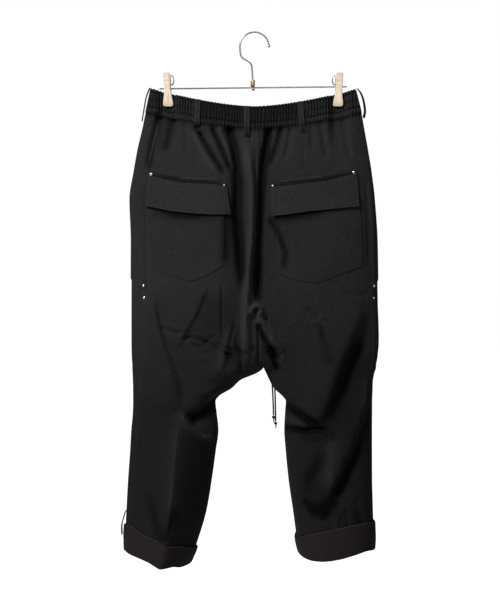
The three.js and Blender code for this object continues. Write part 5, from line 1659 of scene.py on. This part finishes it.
def cuffTab():
    middle = smoothPath([(x, 0, z) for x, z in cuff["tab"]], 26)
    width = cuff["tabWidth"]
    across = borderSteps(width, 1.2, (0, 0.3, 0.7, 1.2, 2.0))
    grid = np.zeros((len(middle), len(across), 3))
    behind = np.zeros_like(grid)
    for i, s in enumerate(across):
        roll = math.sqrt(min(1, min(s, 1 - s) * width / 0.9))
        at = middle + np.array([0, (s - 0.5) * width, 0])
        grid[:, i] = at + np.array([-1, 0, 0]) * cuff["tabThickness"] * (0.3 + 0.7 * roll)
        behind[:, i] = at
    finishPiece(clothShell("cuff_tab_left_strap", grid, behind, np.full(grid.shape[:2], 0.3)),
                cuffCloth, ["cuff_tab_left"])
    normal = gridNormals(grid, np.array([-1, 0, 0]))
    rowShare = np.linspace(0, 1, len(middle))
    for s in (0.14, 0.86):
        points, up = gridPath(grid, normal, rowShare, across, [(s, 0.03), (s, 0.97)], 0.02, 60)
        stitchLine("tab", points, up)


for leg in (left, right):
    for face in (back, front):
        cuffHalf(leg, face)
cuffTab()
print("turn-ups folded")


def sewAll():
    for group, lines in sewingLines.items():
        parts = [part for part in (stitchMesh(*line) for line in lines) if part]
        piece = meshPiece(f"stitches_{group}", *joinParts(parts), sharpAngle=80)
        finishPiece(piece, sewingThread)


sewAll()
print("stitches laid")


# Hanger: bent steel hook, brass ferrule, steel rod, two wooden pegs with springs

hanger = {
    "wire": 1.5, "arcCentre": (0, -25.5), "arcRadius": 27, "arcFrom": 8, "arcTo": 188,
    "stem": [(-24, -44), (-15.5, -50.5), (-6.6, -57), (-4.6, -66), (-3.4, -86)],
    "ball": 2.4, "rodRadius": 1.35, "rodLeft": (-177, -103.4), "rodRight": (171, -99.4),
    "ferruleX": -3.2, "ferruleTop": -86.8, "ferruleRadius": 3.9, "studRadius": 2.6, "studHeight": 4.4,
}
peg = {
    # height, width, inner face, outer face, lean to the middle
    "rows": [
        (-75.5, 13.4, 6.6, 10.2, -1.4), (-88, 13, 4.6, 9.6, -1), (-99, 12.2, 2.2, 8.8, -0.6),
        (-107, 12.4, 2.2, 8.6, 0), (-112, 13.2, 4.9, 9, 0.4), (-121, 15.4, 4.9, 9.2, 0.9),
        (-130, 18.8, 4.9, 8.6, 1.3), (-137, 18.2, 4.9, 7, 1.6),
    ],
    "groove": -92, "grooveDepth": 0.5, "grooveWidth": 2.2,
    "cornerPower": 0.34,  # 1 is an ellipse, 0 a rectangle
    "springTop": -78, "springFoot": -97, "springReach": 6, "springOff": 6.2,
    "springWire": 0.8, "springTurns": (-2.6, -0.9, 0.9, 2.6),
}


def hangerHook():
    angles = np.radians(np.linspace(hanger["arcFrom"], hanger["arcTo"], 13))
    arc = [(hanger["arcCentre"][0] + hanger["arcRadius"] * math.cos(a), 0,
            hanger["arcCentre"][1] + hanger["arcRadius"] * math.sin(a)) for a in angles]
    path = smoothPath(arc + [(x, 0, z) for x, z in hanger["stem"]], 150)
    finishPiece(meshPiece("hook_wire", *tube(path, hanger["wire"], 20), sharpAngle=60),
                hangerSteel, ["hook"])
    tip = arc[0]
    r = hanger["ball"]
    turn = np.linspace(-90, 62, 16)
    profile = [(max(0.02, r * math.cos(math.radians(a))), r * math.sin(math.radians(a))) for a in turn]
    profile += [(1.62, r * 0.95), (1.62, r * 1.12)]  # collar where the wire enters the ball
    points, faces = lathe(profile, 28)
    points = points + [tip[0] + 0.4, 0, tip[2] - r - 0.3]
    finishPiece(meshPiece("hook_tip_ball", points, faces), hangerSteel, ["hook_tip"])


def rodHeight(x):
    return lerp(hanger["rodLeft"][1], hanger["rodRight"][1],
                (x - hanger["rodLeft"][0]) / (hanger["rodRight"][0] - hanger["rodLeft"][0]))


def hangerRod():
    near = np.array([0, 0.001, 0.0025, 0.004])
    share = np.concatenate([near, np.linspace(0.01, 0.99, 60), 1 - near[::-1]])
    start, end = hanger["rodLeft"][0], hanger["rodRight"][0]
    x = lerp(start, end, share)
    path = np.stack([x, np.zeros_like(x), rodHeight(x)], -1)
    fromEnd = np.minimum(share, 1 - share) * (end - start)
    radius = hanger["rodRadius"] * np.sqrt(np.clip(fromEnd / 1.2, 0.05, 1))
    piece = meshPiece("rod_bar", *tube(path, radius, 20), sharpAngle=60)
    finishPiece(piece, rodSteel, ["hanger_rod"])
    bar = rodHeight(hanger["ferruleX"]) + hanger["rodRadius"] + 0.15
    high = hanger["ferruleTop"] - bar
    r = hanger["ferruleRadius"]
    profile = [(r * 0.7, 0), (r * 0.92, 0.5), (r, 1.4), (r, 2.2), (r * 0.9, 2.5), (r * 0.9, 3.0),
               (r, 3.3), (r, high - 2.0), (r * 0.95, high - 1.2), (r * 0.8, high - 0.4),
               (r * 0.55, high), (r * 0.4, high)]
    points, faces = lathe(profile, 36)
    points = points + [hanger["ferruleX"], 0, bar]
    piece = meshPiece("ferrule_sleeve", points, faces, sharpAngle=35)
    finishPiece(piece, ferruleBrass, ["ferrule"])
    r, h = hanger["studRadius"], hanger["studHeight"]
    under = rodHeight(hanger["ferruleX"]) - hanger["rodRadius"] - 0.15
    profile = [(0.1, -h), (r * 0.4, -h * 0.97), (r * 0.62, -h * 0.86), (r * 0.9, -h * 0.55),
               (r, -h * 0.32), (r * 0.97, -0.5), (r * 0.8, 0)]
    points, faces = lathe(profile, 28)
    points = points + [hanger["ferruleX"] + 1, 0, under]
    finishPiece(meshPiece("stud_nut", points, faces, sharpAngle=40), ferruleBrass, ["hanger_stud"])


def pegJaw(side, face):
    # Shaped wooden jaw with eased edges, a groove for the spring and a rounded foot.
    rows = np.array(peg["rows"])[::-1]
    foot, top = rows[0, 0], rows[-1, 0]
    heights = np.concatenate([np.linspace(foot, foot + 3, 5), np.linspace(foot + 4, top - 3.5, 42),
                              np.linspace(top - 2.5, top, 5)])
    width, near, far, lean = (np.interp(heights, rows[:, 0], rows[:, k]) for k in (1, 2, 3, 4))
    kernel = np.ones(5) / 5
    width, far, near = (np.convolve(np.pad(v, 2, "edge"), kernel, "valid") for v in (width, far, near))
    end = np.minimum(heights - heights[0], heights[-1] - heights)
    ease = 1 - 0.32 * (1 - np.sqrt(np.clip(end / 2.4, 0, 1)))
    far = far - peg["grooveDepth"] * bell(heights - peg["groove"], peg["grooveWidth"])
    centre = waist["clips"][0 if side == "left" else 1] + (1 if side == "left" else -1) * lean
    corners = np.linspace(0, 2 * math.pi, 28, endpoint=False)
    cx, cy = (np.sign(v) * np.abs(v) ** peg["cornerPower"] for v in (np.cos(corners), np.sin(corners)))
    points, wornAndPaintedLight = [], []
    for k, z in enumerate(heights):
        middle, half = (near[k] + far[k]) / 2, (far[k] - near[k]) / 2
        half = half * (0.8 + 0.2 * ease[k])
        x = centre[k] + cx * width[k] / 2 * ease[k]
        y = face["sign"] * (middle + cy * half)
        points.append(np.stack([x, y, np.full_like(x, z)], -1))
        corner = np.clip((np.abs(cx) + np.abs(cy) - 1.55) / 0.3, 0, 1)
        wornAndPaintedLight.append(0.35 * corner + 0.8 * bell(end[k], 1.2))
    faces = ringFaces(len(heights), len(corners))
    if face is back:
        faces = [f[::-1] for f in faces]
    node = f"peg_{side}_{face['name']}"
    piece = meshPiece(f"{node}_jaw", np.concatenate(points), faces,
                      wearAndPaintedLight=np.clip(np.concatenate(wornAndPaintedLight), 0, 1))
    finishPiece(piece, pegWood, [node])


def pegSpring(side):
    # Bowed steel spring beside the peg, of round wire in four turns.
    inboard = 1 if side == "left" else -1
    clip = waist["clips"][0 if side == "left" else 1]
    middle = (peg["springTop"] + peg["springFoot"]) / 2
    half = (peg["springTop"] - peg["springFoot"]) / 2
    angle = np.radians(np.linspace(-86, 86, 40))
    parts = []
    wire = peg["springWire"]
    for depth in peg["springTurns"]:
        x = clip + inboard * (peg["springOff"] + (peg["springReach"] - wire) * np.cos(angle))
        path = np.stack([x, np.full_like(x, depth), middle + (half - wire) * np.sin(angle)], -1)
        parts.append(tube(path, wire, 12))
    finishPiece(meshPiece(f"spring_{side}_turns", *joinParts(parts), sharpAngle=60),
                hangerSteel, [f"spring_{side}"])


hangerHook()
hangerRod()
for side in ("left", "right"):
    pegJaw(side, back)
    pegJaw(side, front)
    pegSpring(side)
print("hanger built")


# Plain white floor and soft light

studio = {
    "floor": -1900, "floorSize": 60000, "floorColour": (0.82, 0.82, 0.82, 1), "floorGlow": 1.0,
    "worldSeen": 1.0, "worldLight": 0.07, "aim": (0, 0, -520),
    "key": {"place": (-2250, -2450, 2400), "size": 900, "spread": 160, "power": 190},
    "fill": {"place": (600, -2300, 900), "size": 1500, "spread": 160, "power": 12},
    "backLight": {"place": (0, 2200, 900), "size": 2200, "spread": 160, "power": 10},
}


def setStudio():
    world = bpy.data.worlds.new("studio")
    bpy.context.scene.world = world
    world.use_nodes = True
    tree = world.node_tree
    seen = put(tree, "ShaderNodeLightPath").outputs["Is Camera Ray"]
    fill(tree, tree.nodes["Background"], Color=(1, 1, 1, 1),
         Strength=rangeNode(tree, seen, 0.0, 1.0, studio["worldLight"], studio["worldSeen"]))
    half = studio["floorSize"] * metre / 2
    mesh = bpy.data.meshes.new("floor")
    z = studio["floor"] * metre
    corners = [(-half, -half, z), (half, -half, z), (half, half, z), (-half, half, z)]
    mesh.from_pydata(corners, [], [(0, 1, 2, 3)])
    floor = bpy.data.objects.new("floor", mesh)
    collection.objects.link(floor)
    material, tree, shader, place = newMaterial("floorPaper")
    grain = noiseNode(tree, place["Object"], 3.0, 3.0)
    paler = tuple(min(1, c * 1.04) for c in studio["floorColour"][:3]) + (1,)
    seen = put(tree, "ShaderNodeLightPath").outputs["Is Camera Ray"]  # the light doesn't see the glow
    fill(tree, shader, Base_Color=mixColour(tree, grain, studio["floorColour"], paler), Roughness=0.9,
         Specular_IOR_Level=0.1, Emission_Color=(1, 1, 1, 1),
         Emission_Strength=mathNode(tree, "MULTIPLY", seen, studio["floorGlow"]))
    floor.data.materials.append(material)
    for name in ("key", "fill", "backLight"):
        light = studio[name]
        data = bpy.data.lights.new(name, "AREA")
        data.shape = "DISK"
        data.size = light["size"] * metre
        data.spread = math.radians(light["spread"])
        data.energy = light["power"]
        lamp = bpy.data.objects.new(name, data)
        lamp.location = [v * metre for v in light["place"]]
        aim = np.array(studio["aim"]) - np.array(light["place"])
        lamp.rotation_euler = Vector(aim).to_track_quat("-Z", "Y").to_euler()
        collection.objects.link(lamp)
    bpy.context.scene.view_settings.view_transform = "Standard"


setStudio()
print("studio lit")
